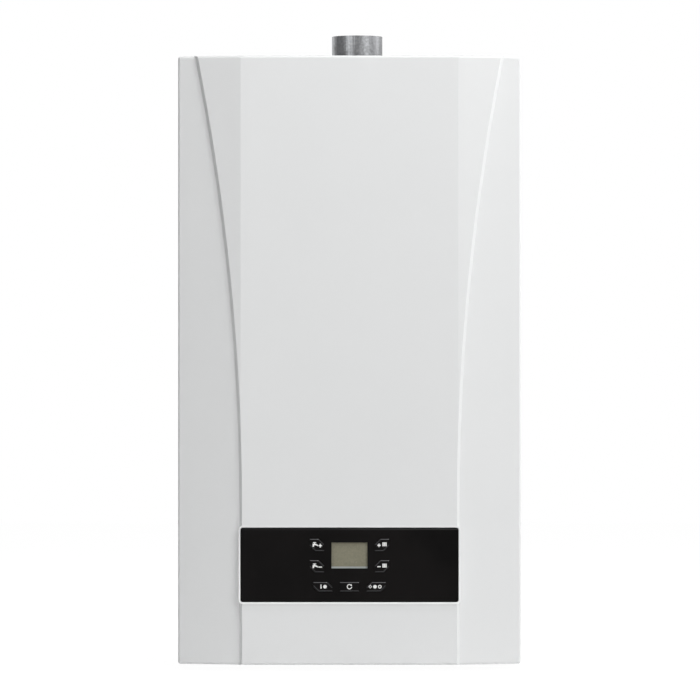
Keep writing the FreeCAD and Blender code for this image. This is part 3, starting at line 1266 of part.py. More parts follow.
# Pipe bracket: a shelf on the rear frame through which the five connections hang
BRACKET_TOP = "(bracket_height + bracket_gauge)"
BRACKET_X = f"({SIDE_IN} - frame_return - bracket_side_gap)"
bracket_shelf = block("bracket_shelf", (f"-{BRACKET_X}", BRACKET_X), ("-bracket_reach", WALL_FACE),
                      ("bracket_height", BRACKET_TOP))
bracket_back = block("bracket_back", (f"-{BRACKET_X}", BRACKET_X),
                     (f"{WALL_FACE} - bracket_gauge", WALL_FACE),
                     ("bracket_height", "bracket_height + bracket_upstand"))
bracket_lip = block("bracket_lip", (f"-{BRACKET_X}", BRACKET_X),
                    ("-bracket_reach", "bracket_gauge - bracket_reach"),
                    ("bracket_height - nut_height", BRACKET_TOP))
COLUMN_X = "(casing_width / 2 - column_side_room)"
SMALL_X = f"({COLUMN_X} / 2)"
PLATES_X = f"({COLUMN_X} - plate_pack_room)"
PORT_X = f"({PLATES_X} - port_inset)"
CONNECTIONS = (
    ("flow", f"-{COLUMN_X}", "large_stub_radius"),
    ("hot", f"-{SMALL_X}", "small_stub_radius"),
    ("gas", "0", "large_stub_radius"),
    ("cold", SMALL_X, "small_stub_radius"),
    ("return", COLUMN_X, "large_stub_radius"),
)
stub_holes = []
for use, x, radius in CONNECTIONS:
    stub_holes.append(rod(f"stub_hole_{use}", "z", (x, CONNECTION_Y),
                          ("bracket_height - bracket_gauge", f"{BRACKET_TOP} + bracket_gauge"),
                          f"{radius} + stub_hole_gap"))
node("pipe_bracket", carve("pipe_bracket",
                           join("bracket_blank", [bracket_shelf, bracket_back, bracket_lip]), stub_holes))
NUT_TOP = f"({BRACKET_TOP} + nut_height)"


def connection(use, x, radius):
    """A threaded stub below the bracket, with the shoulder by which it rests on the bracket."""
    shoulder = f"({radius} + nut_margin)"
    hexagon = doc.addObject("Part::Prism", f"shoulder_{use}")
    hexagon.Polygon = 6
    seat(hexagon, "z", (x, CONNECTION_Y, BRACKET_TOP))
    bind(hexagon, Circumradius=shoulder, Height="nut_height")
    neck_low = "(bracket_height - nut_height)"
    thread = rod(f"stub_{use}", "z", (x, CONNECTION_Y), ("-stub_drop", neck_low), radius)
    neck = rod(f"neck_{use}", "z", (x, CONNECTION_Y), (neck_low, BRACKET_TOP),
               f"{radius} + stub_hole_gap / 2")
    return [thread, neck, hexagon]


def brass_group(side, sign, large, small):
    """The brass casting on one side: a column, two arms to the plate exchanger and the small stub."""
    column_x = f"{sign}{COLUMN_X}"
    small_x = f"{sign}{SMALL_X}"
    port_x = f"{sign}{PORT_X}"

    def between(first, second):
        return (first, second) if sign == "-" else (second, first)
    solids = connection(large, column_x, "large_stub_radius")
    solids += connection(small, small_x, "small_stub_radius")
    solids.append(rod(f"column_{side}", "z", (column_x, CONNECTION_Y), (NUT_TOP, "group_top"),
                      "group_radius"))
    arm_end = f"{sign}({PORT_X} - arm_radius)"
    solids.append(rod(f"lower_arm_{side}", "x", (CONNECTION_Y, "lower_arm_height"),
                      between(column_x, small_x), "arm_radius"))
    solids.append(rod(f"upper_arm_{side}", "x", (CONNECTION_Y, "upper_arm_height"),
                      between(column_x, arm_end), "arm_radius"))
    solids.append(rod(f"small_leg_{side}", "z", (small_x, CONNECTION_Y),
                      (NUT_TOP, "lower_arm_height + leg_radius"), "leg_radius"))
    for level in ("lower", "upper"):
        solids.append(rod(f"{level}_port_{side}", "y", (port_x, f"{level}_arm_height"),
                          (CONNECTION_Y, PLATES_FRONT), "port_radius"))
    return solids


# Plate exchanger for hot water: a brazed stack of plates behind the two brass groups
PLATES_FRONT = f"({CONNECTION_Y} + group_radius + pipe_hole_gap)"
PLATES_BACK = f"({PLATES_FRONT} + plate_pack_depth)"
PLATES_MID_Z = "((lower_arm_height + upper_arm_height) / 2)"
PLATES_FACE = rectangle(f"2 * {PLATES_X}", "plate_pack_height")
pack = rounded(slab("pack", PLATES_FACE, ("0", PLATES_MID_Z), "0", PLATES_FRONT, PLATES_BACK),
               "box_corner", runs_along("y"))
grooves = []
for number in range(1, SIZES["plate_count"]):
    level = f"({PLATES_FRONT} + {number} * plate_pack_depth / plate_count)"
    around = slab(f"groove_{number}", PLATES_FACE, ("0", PLATES_MID_Z), "plate_groove",
                  f"{level} - plate_groove / 2", f"{level} + plate_groove / 2")
    within = slab(f"groove_core_{number}", PLATES_FACE, ("0", PLATES_MID_Z),
                  "-plate_groove - box_corner / 3", f"{level} - plate_groove", f"{level} + plate_groove")
    grooves.append(carve(f"groove_ring_{number}", around, [within]))
node("plate_exchanger", carve("plate_exchanger", pack, grooves))

# Flow group on the left, with the diverter motor on top and the safety valve in front
FLOW_X = f"-{COLUMN_X}"
SAFETY_FACE = f"({CONNECTION_Y} - group_radius - safety_boss + safety_radius)"
flow_solids = brass_group("flow", "-", "flow", "hot")
flow_solids.append(rod("flow_arm", "x", (CONNECTION_Y, "flow_socket_height - socket_radius"),
                       (f"-{PIPE_X}", FLOW_X), "arm_radius"))
flow_solids.append(rod("flow_socket", "z", (f"-{PIPE_X}", CONNECTION_Y),
                       ("flow_socket_height - 2 * socket_radius", "flow_socket_height"), "socket_radius"))
flow_solids.append(rod("safety_seat", "y", (FLOW_X, "safety_height"), (SAFETY_FACE, CONNECTION_Y),
                       "safety_radius"))
node("flow_group", join("flow_group", flow_solids))
node("diverter_motor", turned("diverter_motor", "z", (FLOW_X, CONNECTION_Y, "group_top"), [
    ("0", "0"),
    ("diverter_radius / 2", "0"),
    ("diverter_radius / 2", "diverter_height / 6"),
    ("diverter_radius", "diverter_height / 6"),
    ("diverter_radius", "diverter_height - bend_radius"),
    ("diverter_radius - bend_radius", "diverter_height"),
    ("0", "diverter_height"),
]))
SAFETY_END = f"({SAFETY_FACE} - safety_length)"
SAFETY_MID = f"({SAFETY_FACE} - safety_length / 2)"
safety_solids = [
    rod("safety_body", "y", (FLOW_X, "safety_height"), (SAFETY_END, SAFETY_FACE), "safety_radius"),
    rod("safety_drain", "z", (FLOW_X, SAFETY_MID), ("bracket_height + 2 * nut_height", "safety_height"),
        "drain_radius"),
    rod("safety_spindle", "y", (FLOW_X, "safety_height"),
        (f"{SAFETY_END} - safety_knob_length / 2", SAFETY_END), "knob_spindle_radius"),
]
node("safety_valve", join("safety_valve", safety_solids))


def lobed_knob(name, centre, seat_y, radius, length):
    """A knob with finger lobes round its rim and a blind bore for the spindle behind it."""
    back = f"({seat_y} - knob_gap)"
    front = f"({back} - {length})"
    drum = rod(f"{name}_drum", "y", centre, (front, back), radius)
    flutes = []
    for number in range(SIZES["knob_lobes"]):
        angle = f"({number} * 360 / knob_lobes)"
        place = (f"{centre[0]} + {radius} * cos({angle})", f"{centre[1]} + {radius} * sin({angle})")
        flutes.append(rod(f"{name}_flute_{number}", "y", place,
                          (f"{front} - {length}", f"{back} - {length} / 4"), "knob_lobe_radius"))
    bore = rod(f"{name}_bore", "y", centre, (f"{seat_y} - {length} / 2 - 2 * knob_gap", seat_y),
               "knob_spindle_radius + knob_gap")
    return carve(name, drum, flutes + [bore])


node("safety_knob", lobed_knob("safety_knob", (FLOW_X, "safety_height"), SAFETY_END, "safety_knob_radius",
                               "safety_knob_length"))

# Return group on the right: pump volute, air vent socket, vessel hose socket and filling tap
RETURN_X = COLUMN_X
PUMP_BACK = f"({CONNECTION_Y} + pump_depth / 2)"
PUMP_FRONT = f"({CONNECTION_Y} - pump_depth / 2)"
VENT_X = f"({RETURN_X} - vent_offset)"
PUMP_SOCKET_TOP = "(pump_height + pump_socket_rise)"
VENT_SOCKET_TOP = "(pump_height + vent_socket_rise)"
HOSE_END = f"({CONNECTION_Y} + hose_socket_reach)"
FILL_FACE = f"({CONNECTION_Y} - group_radius - arm_radius)"
FILL_CENTRE = ("filling_offset", "lower_arm_height")
return_solids = brass_group("return", "", "return", "cold")
return_solids.append(rod("volute", "y", (RETURN_X, "pump_height"), (PUMP_FRONT, PUMP_BACK), "pump_radius"))
return_solids.append(rod("pump_neck", "z", (RETURN_X, CONNECTION_Y), ("group_top", "pump_height"),
                         "group_radius"))
return_solids.append(rod("pump_socket", "z", (PIPE_X, CONNECTION_Y), ("pump_height", PUMP_SOCKET_TOP),
                         "socket_radius"))
return_solids.append(rod("vent_socket", "z", (VENT_X, CONNECTION_Y), ("pump_height", VENT_SOCKET_TOP),
                         "socket_radius"))
return_solids.append(rod("hose_socket", "y", (RETURN_X, "hose_socket_height"), (CONNECTION_Y, HOSE_END),
                         "hose_radius + vessel_rim"))
return_solids.append(rod("filling_tap", "y", FILL_CENTRE, (FILL_FACE, CONNECTION_Y), "port_radius"))
return_solids.append(rod("filling_spindle", "y", FILL_CENTRE,
                         (f"{FILL_FACE} - filling_knob_length / 2", FILL_FACE), "knob_spindle_radius"))
node("return_group", join("return_group", return_solids))
PUMP_RIM = "(pump_motor_radius - bend_radius)"
node("pump_motor", turned("pump_motor", "-y", (RETURN_X, PUMP_FRONT, "pump_height"), [
    ("0", "0"),
    ("pump_motor_radius", "0"),
    ("pump_motor_radius", "pump_motor_length / 4"),
    (PUMP_RIM, "pump_motor_length / 3"),
    (PUMP_RIM, "pump_motor_length - bend_radius"),
    ("pump_motor_radius - 2 * bend_radius", "pump_motor_length"),
    ("0", "pump_motor_length"),
]))
node("air_vent", turned("air_vent", "z", (VENT_X, CONNECTION_Y, VENT_SOCKET_TOP), [
    ("0", "0"),
    ("vent_radius", "0"),
    ("vent_radius", "2 * vent_height / 3"),
    ("vent_radius / 2", "2 * vent_height / 3"),
    ("vent_radius / 2", "vent_height - bend_radius"),
    ("vent_radius / 4", "vent_height"),
    ("0", "vent_height"),
]))
node("filling_knob", lobed_knob("filling_knob", FILL_CENTRE, FILL_FACE, "filling_knob_radius",
                                "filling_knob_length"))

# Gas line: inlet, valve with its two coils, and the pipe up to the burner's manifold
VALVE_TOP = "(valve_base + valve_height)"
gas_inlet = connection("gas", "0", "large_stub_radius")
gas_inlet.append(rod("gas_inlet_tube", "z", ("0", CONNECTION_Y), (NUT_TOP, "valve_base"),
                     "gas_inlet_radius"))
node("gas_inlet_pipe", join("gas_inlet_pipe", gas_inlet))
VALVE_FRONT = f"({CONNECTION_Y} - valve_depth / 2)"
VALVE_BACK = f"({CONNECTION_Y} + valve_depth / 2)"
VALVE_MIDDLE = ("0", "(valve_base + valve_height / 2)")
valve_body = rounded(slab("valve_body", rectangle("valve_width", "valve_height"), VALVE_MIDDLE, "0",
                          VALVE_FRONT, VALVE_BACK),
                     "valve_corner", runs_along("y"))
valve_solids = [valve_body, rod("valve_outlet", "z", ("0", CONNECTION_Y),
                                (VALVE_TOP, f"{VALVE_TOP} + valve_outlet_rise"), "valve_outlet_radius")]
for number, sign in enumerate(("-", "")):
    valve_solids.append(rod(f"valve_coil_{number}", "y", (f"{sign}(coil_spacing / 2)", VALVE_MIDDLE[1]),
                            (f"{VALVE_FRONT} - coil_length", VALVE_FRONT), "coil_radius"))
node("gas_valve", join("gas_valve", valve_solids))
node("gas_supply_pipe", pipe("gas_supply_pipe", [
    ("0", CONNECTION_Y, f"{VALVE_TOP} + valve_outlet_rise"),
    ("0", CONNECTION_Y, "gas_turn_height"),
    ("0", FEED_Y, "gas_turn_height"),
    ("0", FEED_Y, f"{BAR_MID} - manifold_section / 2"),
], "gas_bend", "gas_pipe_radius"))

# Flow and return pipes between the heat exchanger and the brass groups
node("flow_pipe", pipe("flow_pipe", [
    (f"-{PIPE_X}", CONNECTION_Y, "flow_socket_height"),
    (f"-{PIPE_X}", CONNECTION_Y, CORE_MID),
    (f"-{CHAMBER_X}", CONNECTION_Y, CORE_MID),
], "pipe_bend", "tube_radius"))
node("return_pipe", pipe("return_pipe", [
    (PIPE_X, CONNECTION_Y, PUMP_SOCKET_TOP),
    (PIPE_X, CONNECTION_Y, "return_step_height"),
    (PIPE_X, TUBE_PLACES[4], "return_step_height"),
    (PIPE_X, TUBE_PLACES[4], CORE_MID),
    (CHAMBER_X, TUBE_PLACES[4], CORE_MID),
], "pipe_bend", "tube_radius"))

# Hose from the return group to the expansion vessel
node("vessel_hose", pipe("vessel_hose", [
    (RETURN_X, HOSE_END, "hose_socket_height"),
    (RETURN_X, VESSEL_MID_Y, "hose_socket_height"),
    (RETURN_X, VESSEL_MID_Y, "hose_climb"),
    ("0", VESSEL_MID_Y, "hose_climb"),
    ("0", VESSEL_MID_Y, f"{VESSEL_PORT_Z} - vessel_port_drop"),
], "hose_route_bend", "hose_radius"))

doc.recompute()
for thing in doc.Objects:
    if "Invalid" in thing.State or "Error" in thing.State:
        raise RuntimeError(f"{thing.Name} did not build: {thing.State}")
for name, thing in NODES.items():
    if thing.Shape.isNull() or not thing.Shape.isValid():
        raise RuntimeError(f"{name} has no valid shape")

os.makedirs("parts", exist_ok=True)
for name, thing in NODES.items():
    thing.Shape.exportStep(f"parts/{name}.step")
print(len(NODES), "pieces")
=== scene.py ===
"""Looks of a wall-mounted gas boiler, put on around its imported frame.

Metres; the wall is Y = 0, the front looks along -Y, Z = 0 is the lower edge of the casing.
"""
import json
import math
import bpy
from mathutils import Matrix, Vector


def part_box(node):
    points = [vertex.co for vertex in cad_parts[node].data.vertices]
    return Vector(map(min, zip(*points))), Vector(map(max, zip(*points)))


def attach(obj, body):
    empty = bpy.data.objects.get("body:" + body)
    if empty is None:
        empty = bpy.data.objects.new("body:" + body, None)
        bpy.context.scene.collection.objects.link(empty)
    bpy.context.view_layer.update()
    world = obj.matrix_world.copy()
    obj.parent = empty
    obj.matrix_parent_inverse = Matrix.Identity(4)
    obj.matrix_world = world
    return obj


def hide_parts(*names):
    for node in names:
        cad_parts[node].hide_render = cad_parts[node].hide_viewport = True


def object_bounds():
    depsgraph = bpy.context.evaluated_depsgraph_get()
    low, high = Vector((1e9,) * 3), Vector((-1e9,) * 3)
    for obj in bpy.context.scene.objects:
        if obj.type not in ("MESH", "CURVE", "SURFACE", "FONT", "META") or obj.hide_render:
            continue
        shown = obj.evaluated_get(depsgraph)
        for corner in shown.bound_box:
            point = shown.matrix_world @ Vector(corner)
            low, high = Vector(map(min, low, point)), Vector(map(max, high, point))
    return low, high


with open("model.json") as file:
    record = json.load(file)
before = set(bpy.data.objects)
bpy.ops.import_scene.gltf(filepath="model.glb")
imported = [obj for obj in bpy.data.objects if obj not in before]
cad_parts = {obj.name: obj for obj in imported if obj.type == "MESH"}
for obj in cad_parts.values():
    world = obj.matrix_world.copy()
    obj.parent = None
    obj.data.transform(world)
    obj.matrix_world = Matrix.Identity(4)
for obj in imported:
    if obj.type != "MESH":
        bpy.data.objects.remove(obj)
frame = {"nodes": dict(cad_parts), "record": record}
cad_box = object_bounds()


# Rear frame and pipe bracket
# A channel and a shelf of galvanised sheet, folded on a press and hung on two wall hooks.
# The zinc coat shows its crystals as small ragged spangles, duller here and there.
class Shade:
    """A shader socket. Sums with numbers or other sockets add Math nodes; node() adds any other."""

    def __init__(self, tree, plug):
        self.tree = tree
        self.plug = plug

    def node(self, kind, settings=None, inputs=None, output=0):
        made = self.tree.nodes.new("ShaderNode" + kind)
        for name, value in (settings or {}).items():
            if name != "stops":
                setattr(made, name, value)
                continue
            elements = made.color_ramp.elements
            while len(elements) < len(value):
                elements.new(1.0)
            for element, (position, grey) in zip(elements, value):
                element.position = position
                element.color = (grey, grey, grey, 1.0)
        for name, value in (inputs or {}).items():
            if isinstance(value, Shade):
                self.tree.links.new(value.plug, made.inputs[name])
            else:
                made.inputs[name].default_value = value
        return Shade(self.tree, made.outputs[output]) if made.outputs else None

    def math(self, operation, *values):
        return self.node("Math", {"operation": operation}, dict(enumerate(values)))

    def __add__(self, other):
        return self.math("ADD", self, other)

    __radd__ = __add__

    def __sub__(self, other):
        return self.math("SUBTRACT", self, other)

    def __rsub__(self, other):
        return self.math("SUBTRACT", other, self)

    def __mul__(self, other):
        return self.math("MULTIPLY", self, other)

    __rmul__ = __mul__

    def __abs__(self):
        return self.math("ABSOLUTE", self)

    def wave(self):
        """The sine of a value, from -1 to 1."""
        return self.math("SINE", self)

    def part(self, letter):
        """One coordinate of a point."""
        return self.node("SeparateXYZ", inputs={"Vector": self}, output=letter)

    def rise(self, low, high):
        """0 below low, 1 above high, and a smooth step between them."""
        return self.node("MapRange", {"interpolation_type": "SMOOTHSTEP"}, {"Value": self, 1: low, 2: high})

    def stretched(self, x, y, z):
        """The point with its three coordinates scaled, to draw a pattern out."""
        return self.node("VectorMath", {"operation": "MULTIPLY"}, {0: self, 1: (x, y, z)})

    def from_centre(self, x, y, z):
        """The point measured from a centre."""
        return self.node("VectorMath", {"operation": "SUBTRACT"}, {0: self, 1: (x, y, z)})

    def noise(self, per_metre, detail=2.0):
        """Soft random tone from 0 to 1, with so many spots to the metre."""
        return self.node("TexNoise", inputs={"Vector": self, "Scale": per_metre, "Detail": detail})

    def cells(self, per_metre):
        """One random tone for each crystal or patch."""
        colour = self.node("TexVoronoi", inputs={"Vector": self, "Scale": per_metre}, output="Color")
        return self.node("SeparateColor", inputs={"Color": colour}, output="Red")

    def mixed(self, first, second, amount):
        """One colour turned into another by an amount from 0 to 1."""
        return self.node("Mix", {"data_type": "RGBA"}, {0: amount, 6: first, 7: second}, 2)

    def relief(self, depth, strength=1.0):
        """A height from 0 to 1 turned into dents and ridges of a depth in metres."""
        return self.node("Bump", inputs={"Height": self, "Distance": depth, "Strength": strength},
                         output="Normal")


def tone(red, green, blue):
    """A colour from plain light values."""
    return (red, green, blue, 1.0)


def start_finish(name, fixed):
    """A new finish with its fixed sockets set; gives it and the point on the piece, in metres."""
    finish = bpy.data.materials.new(name)
    finish.use_nodes = True
    shader = finish.node_tree.nodes["Principled BSDF"]
    for socket, value in fixed.items():
        shader.inputs[socket].default_value = value
    places = finish.node_tree.nodes.new("ShaderNodeTexCoord")
    return finish, Shade(finish.node_tree, places.outputs["Object"])


def end_finish(finish, varying):
    """Link what changes over the surface to the finish's shader."""
    shader = finish.node_tree.nodes["Principled BSDF"]
    for socket, value in varying.items():
        finish.node_tree.links.new(value.plug, shader.inputs[socket])


def dress(finish, *names):
    """Give pieces of the frame a finish."""
    for name in names:
        frame["nodes"][name].material_slots[0].material = finish


SPANGLES_PER_METRE = 150.0
RAGGED_EDGE = 0.0016
ZINC_LIGHT = tone(0.64, 0.65, 0.66)
ZINC_DULL = tone(0.45, 0.47, 0.49)
zinc, spot = start_finish("galvanised_sheet", {"Metallic": 1.0})
wander = spot.noise(14.0, 3.0)
spangle = spot.node("VectorMath", {"operation": "ADD"}, {0: spot, 1: spot.noise(260.0) * RAGGED_EDGE})
grain = spangle.cells(SPANGLES_PER_METRE)
dull = grain * 0.5 + wander * 0.4
end_finish(zinc, {
    "Base Color": spot.mixed(ZINC_LIGHT, ZINC_DULL, dull),
    "Roughness": 0.26 + grain * 0.14 + wander * 0.16,
    "Normal": (grain * 0.4 + spot.noise(900.0) * 0.3).relief(0.0001, 0.5),
})
dress(zinc, "rear_frame", "pipe_bracket")

# Side panels and top panel
# Steel sheet, folded and then powder coated white like the front casing.
# The coat has a fine orange peel that only shows where light grazes it.
ENAMEL = tone(0.775, 0.782, 0.783)
ENAMEL_SHADE = tone(0.755, 0.763, 0.765)
PEEL_PER_METRE = 700.0
enamel, spot = start_finish("white_powder_coat", {"Specular IOR Level": 0.35})
peel = spot.noise(PEEL_PER_METRE, 1.0)
cloud = spot.noise(6.0, 2.0)
end_finish(enamel, {
    "Base Color": spot.mixed(ENAMEL, ENAMEL_SHADE, cloud),
    "Roughness": 0.36 + peel * 0.08 + cloud * 0.05,
    "Normal": peel.relief(0.00003, 0.35),
})
dress(enamel, "side_panel_left", "side_panel_right", "top_panel")

# Expansion vessel and its hose
# Two pressed steel dishes rolled together at the rim and painted red, hung flat on the rear frame.
# A braided hose joins its port to the return casting.
VESSEL_RED = tone(0.40, 0.022, 0.018)
VESSEL_DEEP = tone(0.26, 0.012, 0.011)
red_paint, spot = start_finish("vessel_red_paint", {"Specular IOR Level": 0.5, "Coat Roughness": 0.12})
drift = spot.noise(14.0, 3.0)
end_finish(red_paint, {
    "Base Color": spot.mixed(VESSEL_RED, VESSEL_DEEP, drift * 0.8),
    "Roughness": 0.28 + drift * 0.16,
    "Coat Weight": 0.25 + drift * 0.2,
    "Normal": spot.noise(420.0).relief(0.00008, 0.4),
})
dress(red_paint, "expansion_vessel")

STRANDS_PER_METRE = 620.0
BRAID_LIGHT = tone(0.42, 0.42, 0.43)
BRAID_DARK = tone(0.07, 0.07, 0.075)
braid, spot = start_finish("braided_hose", {"Metallic": 0.6})
strands = []
for lean in (1.0, -1.0):
    across = spot.part("X") + spot.part("Y") + spot.part("Z") * lean
    strands.append((across * (STRANDS_PER_METRE * math.pi)).wave())
weave = (strands[0] * strands[1]) * 0.5 + 0.5
end_finish(braid, {
    "Base Color": spot.mixed(BRAID_DARK, BRAID_LIGHT, weave),
    "Roughness": 0.62 - weave * 0.25,
    "Normal": weave.relief(0.0004, 0.8),
})
dress(braid, "vessel_hose")

# Brass pieces: flow group, return group, gas inlet, safety valve, air vent and injectors
# Sand-cast brass, machined only at the threads and faces; the five threaded stubs hang under the
# bracket. Each thread is cut as one ridge that winds round its stub. The injectors are turned.
BRASS_BRIGHT = tone(0.66, 0.50, 0.22)
BRASS_DARK = tone(0.40, 0.27, 0.10)
brass, spot = start_finish("cast_brass", {"Metallic": 1.0})
sand = spot.noise(650.0, 2.0)
stain = spot.noise(45.0, 4.0)
end_finish(brass, {
    "Base Color": spot.mixed(BRASS_BRIGHT, BRASS_DARK, stain * 0.9),
    "Roughness": 0.24 + stain * 0.2 + sand * 0.1,
    "Normal": sand.relief(0.0002, 0.45),
})
dress(brass, "flow_group", "return_group", "gas_inlet_pipe", "safety_valve", "air_vent", "injectors")


def begin_piece():
    """Nothing selected, so that the next operators act on the new piece alone."""
    bpy.ops.object.select_all(action="DESELECT")


def end_piece(name, body, finish):
    """Name the new piece, seat its place in its mesh, and hang it on its body with its finish."""
    piece = bpy.context.object
    piece.name = name
    piece.data.name = name
    bpy.ops.object.transform_apply(location=True, rotation=True, scale=True)
    piece.data.materials.clear()
    piece.data.materials.append(finish)
    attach(piece, body)
    return piece


def apply_modifier(kind, **settings):
    """Add a modifier to the new piece and make its result the mesh."""
    made = bpy.context.object.modifiers.new(kind.lower(), kind)
    for name, value in settings.items():
        setattr(made, name, value)
    bpy.ops.object.modifier_apply(modifier=made.name)


THREAD_LOW = -0.0068
THREAD_HIGH = 0.0105
THREAD_PITCH = 0.00181
THREAD_RIDGE = 0.0004
THREAD_FLANK = 0.55
THREAD_STEPS = 40
for mount in frame["record"]["mounts"]:
    if mount["kind"] != "pin" or mount["name"] == "flue_spigot":
        continue
    radius = mount["dims"]["r_mm"] / 1000
    turns = int((THREAD_HIGH - THREAD_LOW) / THREAD_PITCH)
    x, y = mount["pos_m"][:2]
    begin_piece()
    bpy.ops.mesh.primitive_circle_add(vertices=3, radius=THREAD_PITCH * THREAD_FLANK, fill_type="NOTHING",
                                      enter_editmode=True)
    bpy.ops.transform.rotate(value=math.pi / 2, orient_axis="X", center_override=(0, 0, 0))
    bpy.ops.transform.resize(value=(THREAD_RIDGE * 2 / THREAD_PITCH, 1, 1))
    bpy.ops.transform.translate(value=(radius, 0, 0))
    bpy.ops.object.mode_set(mode="OBJECT")
    apply_modifier("SCREW", axis="Z", angle=math.tau, screw_offset=THREAD_PITCH, iterations=turns,
                   steps=THREAD_STEPS, render_steps=THREAD_STEPS, use_merge_vertices=True,
                   merge_threshold=1e-6)
    bpy.ops.object.mode_set(mode="EDIT")
    bpy.ops.mesh.select_all(action="SELECT")
    bpy.ops.mesh.fill_holes(sides=3)
    bpy.ops.mesh.normals_make_consistent(inside=False)
    bpy.ops.object.mode_set(mode="OBJECT")
    bpy.ops.object.shade_smooth_by_angle(angle=math.radians(40))
    bpy.context.object.location = (x, y, THREAD_LOW)
    end_piece(mount["name"] + "_thread", "chassis", brass)

# Plate exchanger
# Thin stainless plates, stamped, stacked and brazed together in a furnace with copper foil,
# which leaves a warm line of copper between the plates.
STAINLESS = tone(0.53, 0.53, 0.525)
BRAZE = tone(0.52, 0.30, 0.17)
brazed, spot = start_finish("brazed_stainless", {"Metallic": 1.0})
PLATE_COUNT = 12
PLATE_PACK = 0.052
PLATES_PER_METRE = PLATE_COUNT / PLATE_PACK
seam = (spot.part("Y") * (math.tau * PLATES_PER_METRE)).wave()
copper_line = seam.rise(0.55, 0.95) * (0.55 + spot.noise(220.0, 3.0) * 0.45)
heat = spot.noise(30.0, 3.0)
end_finish(brazed, {
    "Base Color": spot.mixed(STAINLESS, BRAZE, copper_line),
    "Roughness": 0.26 + heat * 0.2,
    "Normal": spot.stretched(1.0, 0.2, 1.0).noise(500.0).relief(0.00006, 0.4),
})
dress(brazed, "plate_exchanger")

# Pump motor and diverter motor
# The pump's can is cast iron under a thick black paint; the diverter is driven by a small motor in
# a moulded white case that is clipped on top of its valve.
PAINT_BLACK = tone(0.018, 0.018, 0.019)
PAINT_CHALKED = tone(0.045, 0.045, 0.046)
black_paint, spot = start_finish("black_casting_paint", {"Specular IOR Level": 0.4})
pitted = spot.noise(380.0, 4.0)
chalk = spot.noise(25.0, 3.0)
end_finish(black_paint, {
    "Base Color": spot.mixed(PAINT_BLACK, PAINT_CHALKED, chalk),
    "Roughness": 0.38 + pitted * 0.25,
    "Normal": pitted.relief(0.0004, 0.45),
})
dress(black_paint, "pump_motor")


def moulded(name, light, dark, rough):
    """Moulded plastic with the fine spark-eroded grain of its tool."""
    finish, spot = start_finish(name, {"Specular IOR Level": 0.35})
    tool_grain = spot.noise(1500.0, 1.0)
    flow = spot.noise(18.0, 2.0)
    end_finish(finish, {
        "Base Color": spot.mixed(light, dark, flow),
        "Roughness": rough + tool_grain * 0.15,
        "Normal": tool_grain.relief(0.00004, 0.4),
    })
    return finish


white_plastic = moulded("white_moulding", tone(0.74, 0.74, 0.72), tone(0.68, 0.68, 0.66), 0.4)
dress(white_plastic, "diverter_motor")

# Safety and filling knobs
# Fluted knobs, moulded in red and blue so that nobody mixes them up, pushed on their spindles.
red_plastic = moulded("red_moulding", tone(0.56, 0.025, 0.018), tone(0.46, 0.018, 0.013), 0.32)
blue_plastic = moulded("blue_moulding", tone(0.025, 0.09, 0.36), tone(0.018, 0.07, 0.29), 0.32)
dress(red_plastic, "safety_knob")
dress(blue_plastic, "filling_knob")

# Gas valve
# A die-cast aluminium body with two solenoid coils wound in black resin on its front, and the gas
# passages bored and plugged from outside.
ALUMINIUM_LIGHT = tone(0.68, 0.69, 0.70)
ALUMINIUM_DULL = tone(0.48, 0.49, 0.50)
RESIN_BLACK = tone(0.02, 0.02, 0.021)
valve_metal, spot = start_finish("die_cast_valve", {"Specular IOR Level": 0.4})
valve_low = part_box("gas_valve")[0]
COIL_REACH = 0.034
COIL_EDGE = 0.0004
coil_end = valve_low.y + COIL_REACH
on_coil = 1 - spot.part("Y").rise(coil_end - COIL_EDGE, coil_end)
flow_mark = spot.noise(60.0, 4.0)
end_finish(valve_metal, {
    "Base Color": spot.mixed(spot.mixed(ALUMINIUM_LIGHT, ALUMINIUM_DULL, flow_mark), RESIN_BLACK, on_coil),
    "Metallic": 1 - on_coil,
    "Roughness": 0.34 + flow_mark * 0.14 + on_coil * 0.1,
    "Normal": spot.noise(500.0, 3.0).relief(0.0001, 0.45),
})
dress(valve_metal, "gas_valve")

# Copper pipes and heat exchanger
# Drawn copper tube bent on a former, and a finned copper block that is dipped in a protective coat.
# Handling and brazing leave it brown in patches.
COPPER_BRIGHT = tone(0.72, 0.36, 0.22)
COPPER_BROWN = tone(0.38, 0.16, 0.09)
copper, spot = start_finish("drawn_copper", {"Metallic": 1.0})
patch = spot.noise(22.0, 4.0)
draw_line = spot.stretched(1.0, 1.0, 0.06).noise(900.0, 2.0)
end_finish(copper, {
    "Base Color": spot.mixed(COPPER_BRIGHT, COPPER_BROWN, patch.rise(0.38, 0.78)),
    "Roughness": 0.2 + patch * 0.22 + draw_line * 0.06,
    "Normal": draw_line.relief(0.00004, 0.4),
})
dress(copper, "gas_supply_pipe", "flow_pipe", "return_pipe", "heat_exchanger", "exchanger_bends")

# Burner, gas manifold and combustion chamber
# Stainless burner bars in a pressed tray, fed by one injector each; the sleeve over them is bright
# sheet that the flame has tinted straw near its lower edge.
STEEL_TINT = tone(0.42, 0.34, 0.27)
TINT_FOOT = (0.310, 0.330)
TINT_TOP = (0.350, 0.395)
brushed, spot = start_finish("bright_steel", {"Metallic": 1.0})
brush_line = spot.stretched(0.05, 1.0, 1.0).noise(1400.0, 2.0)
heated = (1 - spot.part("Z").rise(*TINT_TOP)) * spot.part("Z").rise(*TINT_FOOT)
end_finish(brushed, {
    "Base Color": spot.mixed(STAINLESS, STEEL_TINT, heated * (0.3 + spot.noise(40.0, 3.0) * 0.6)),
    "Roughness": 0.2 + brush_line * 0.22,
    "Normal": brush_line.relief(0.00003, 0.4),
})
dress(brushed, "burner", "combustion_chamber")
raw_aluminium, spot = start_finish("raw_aluminium", {"Metallic": 1.0})
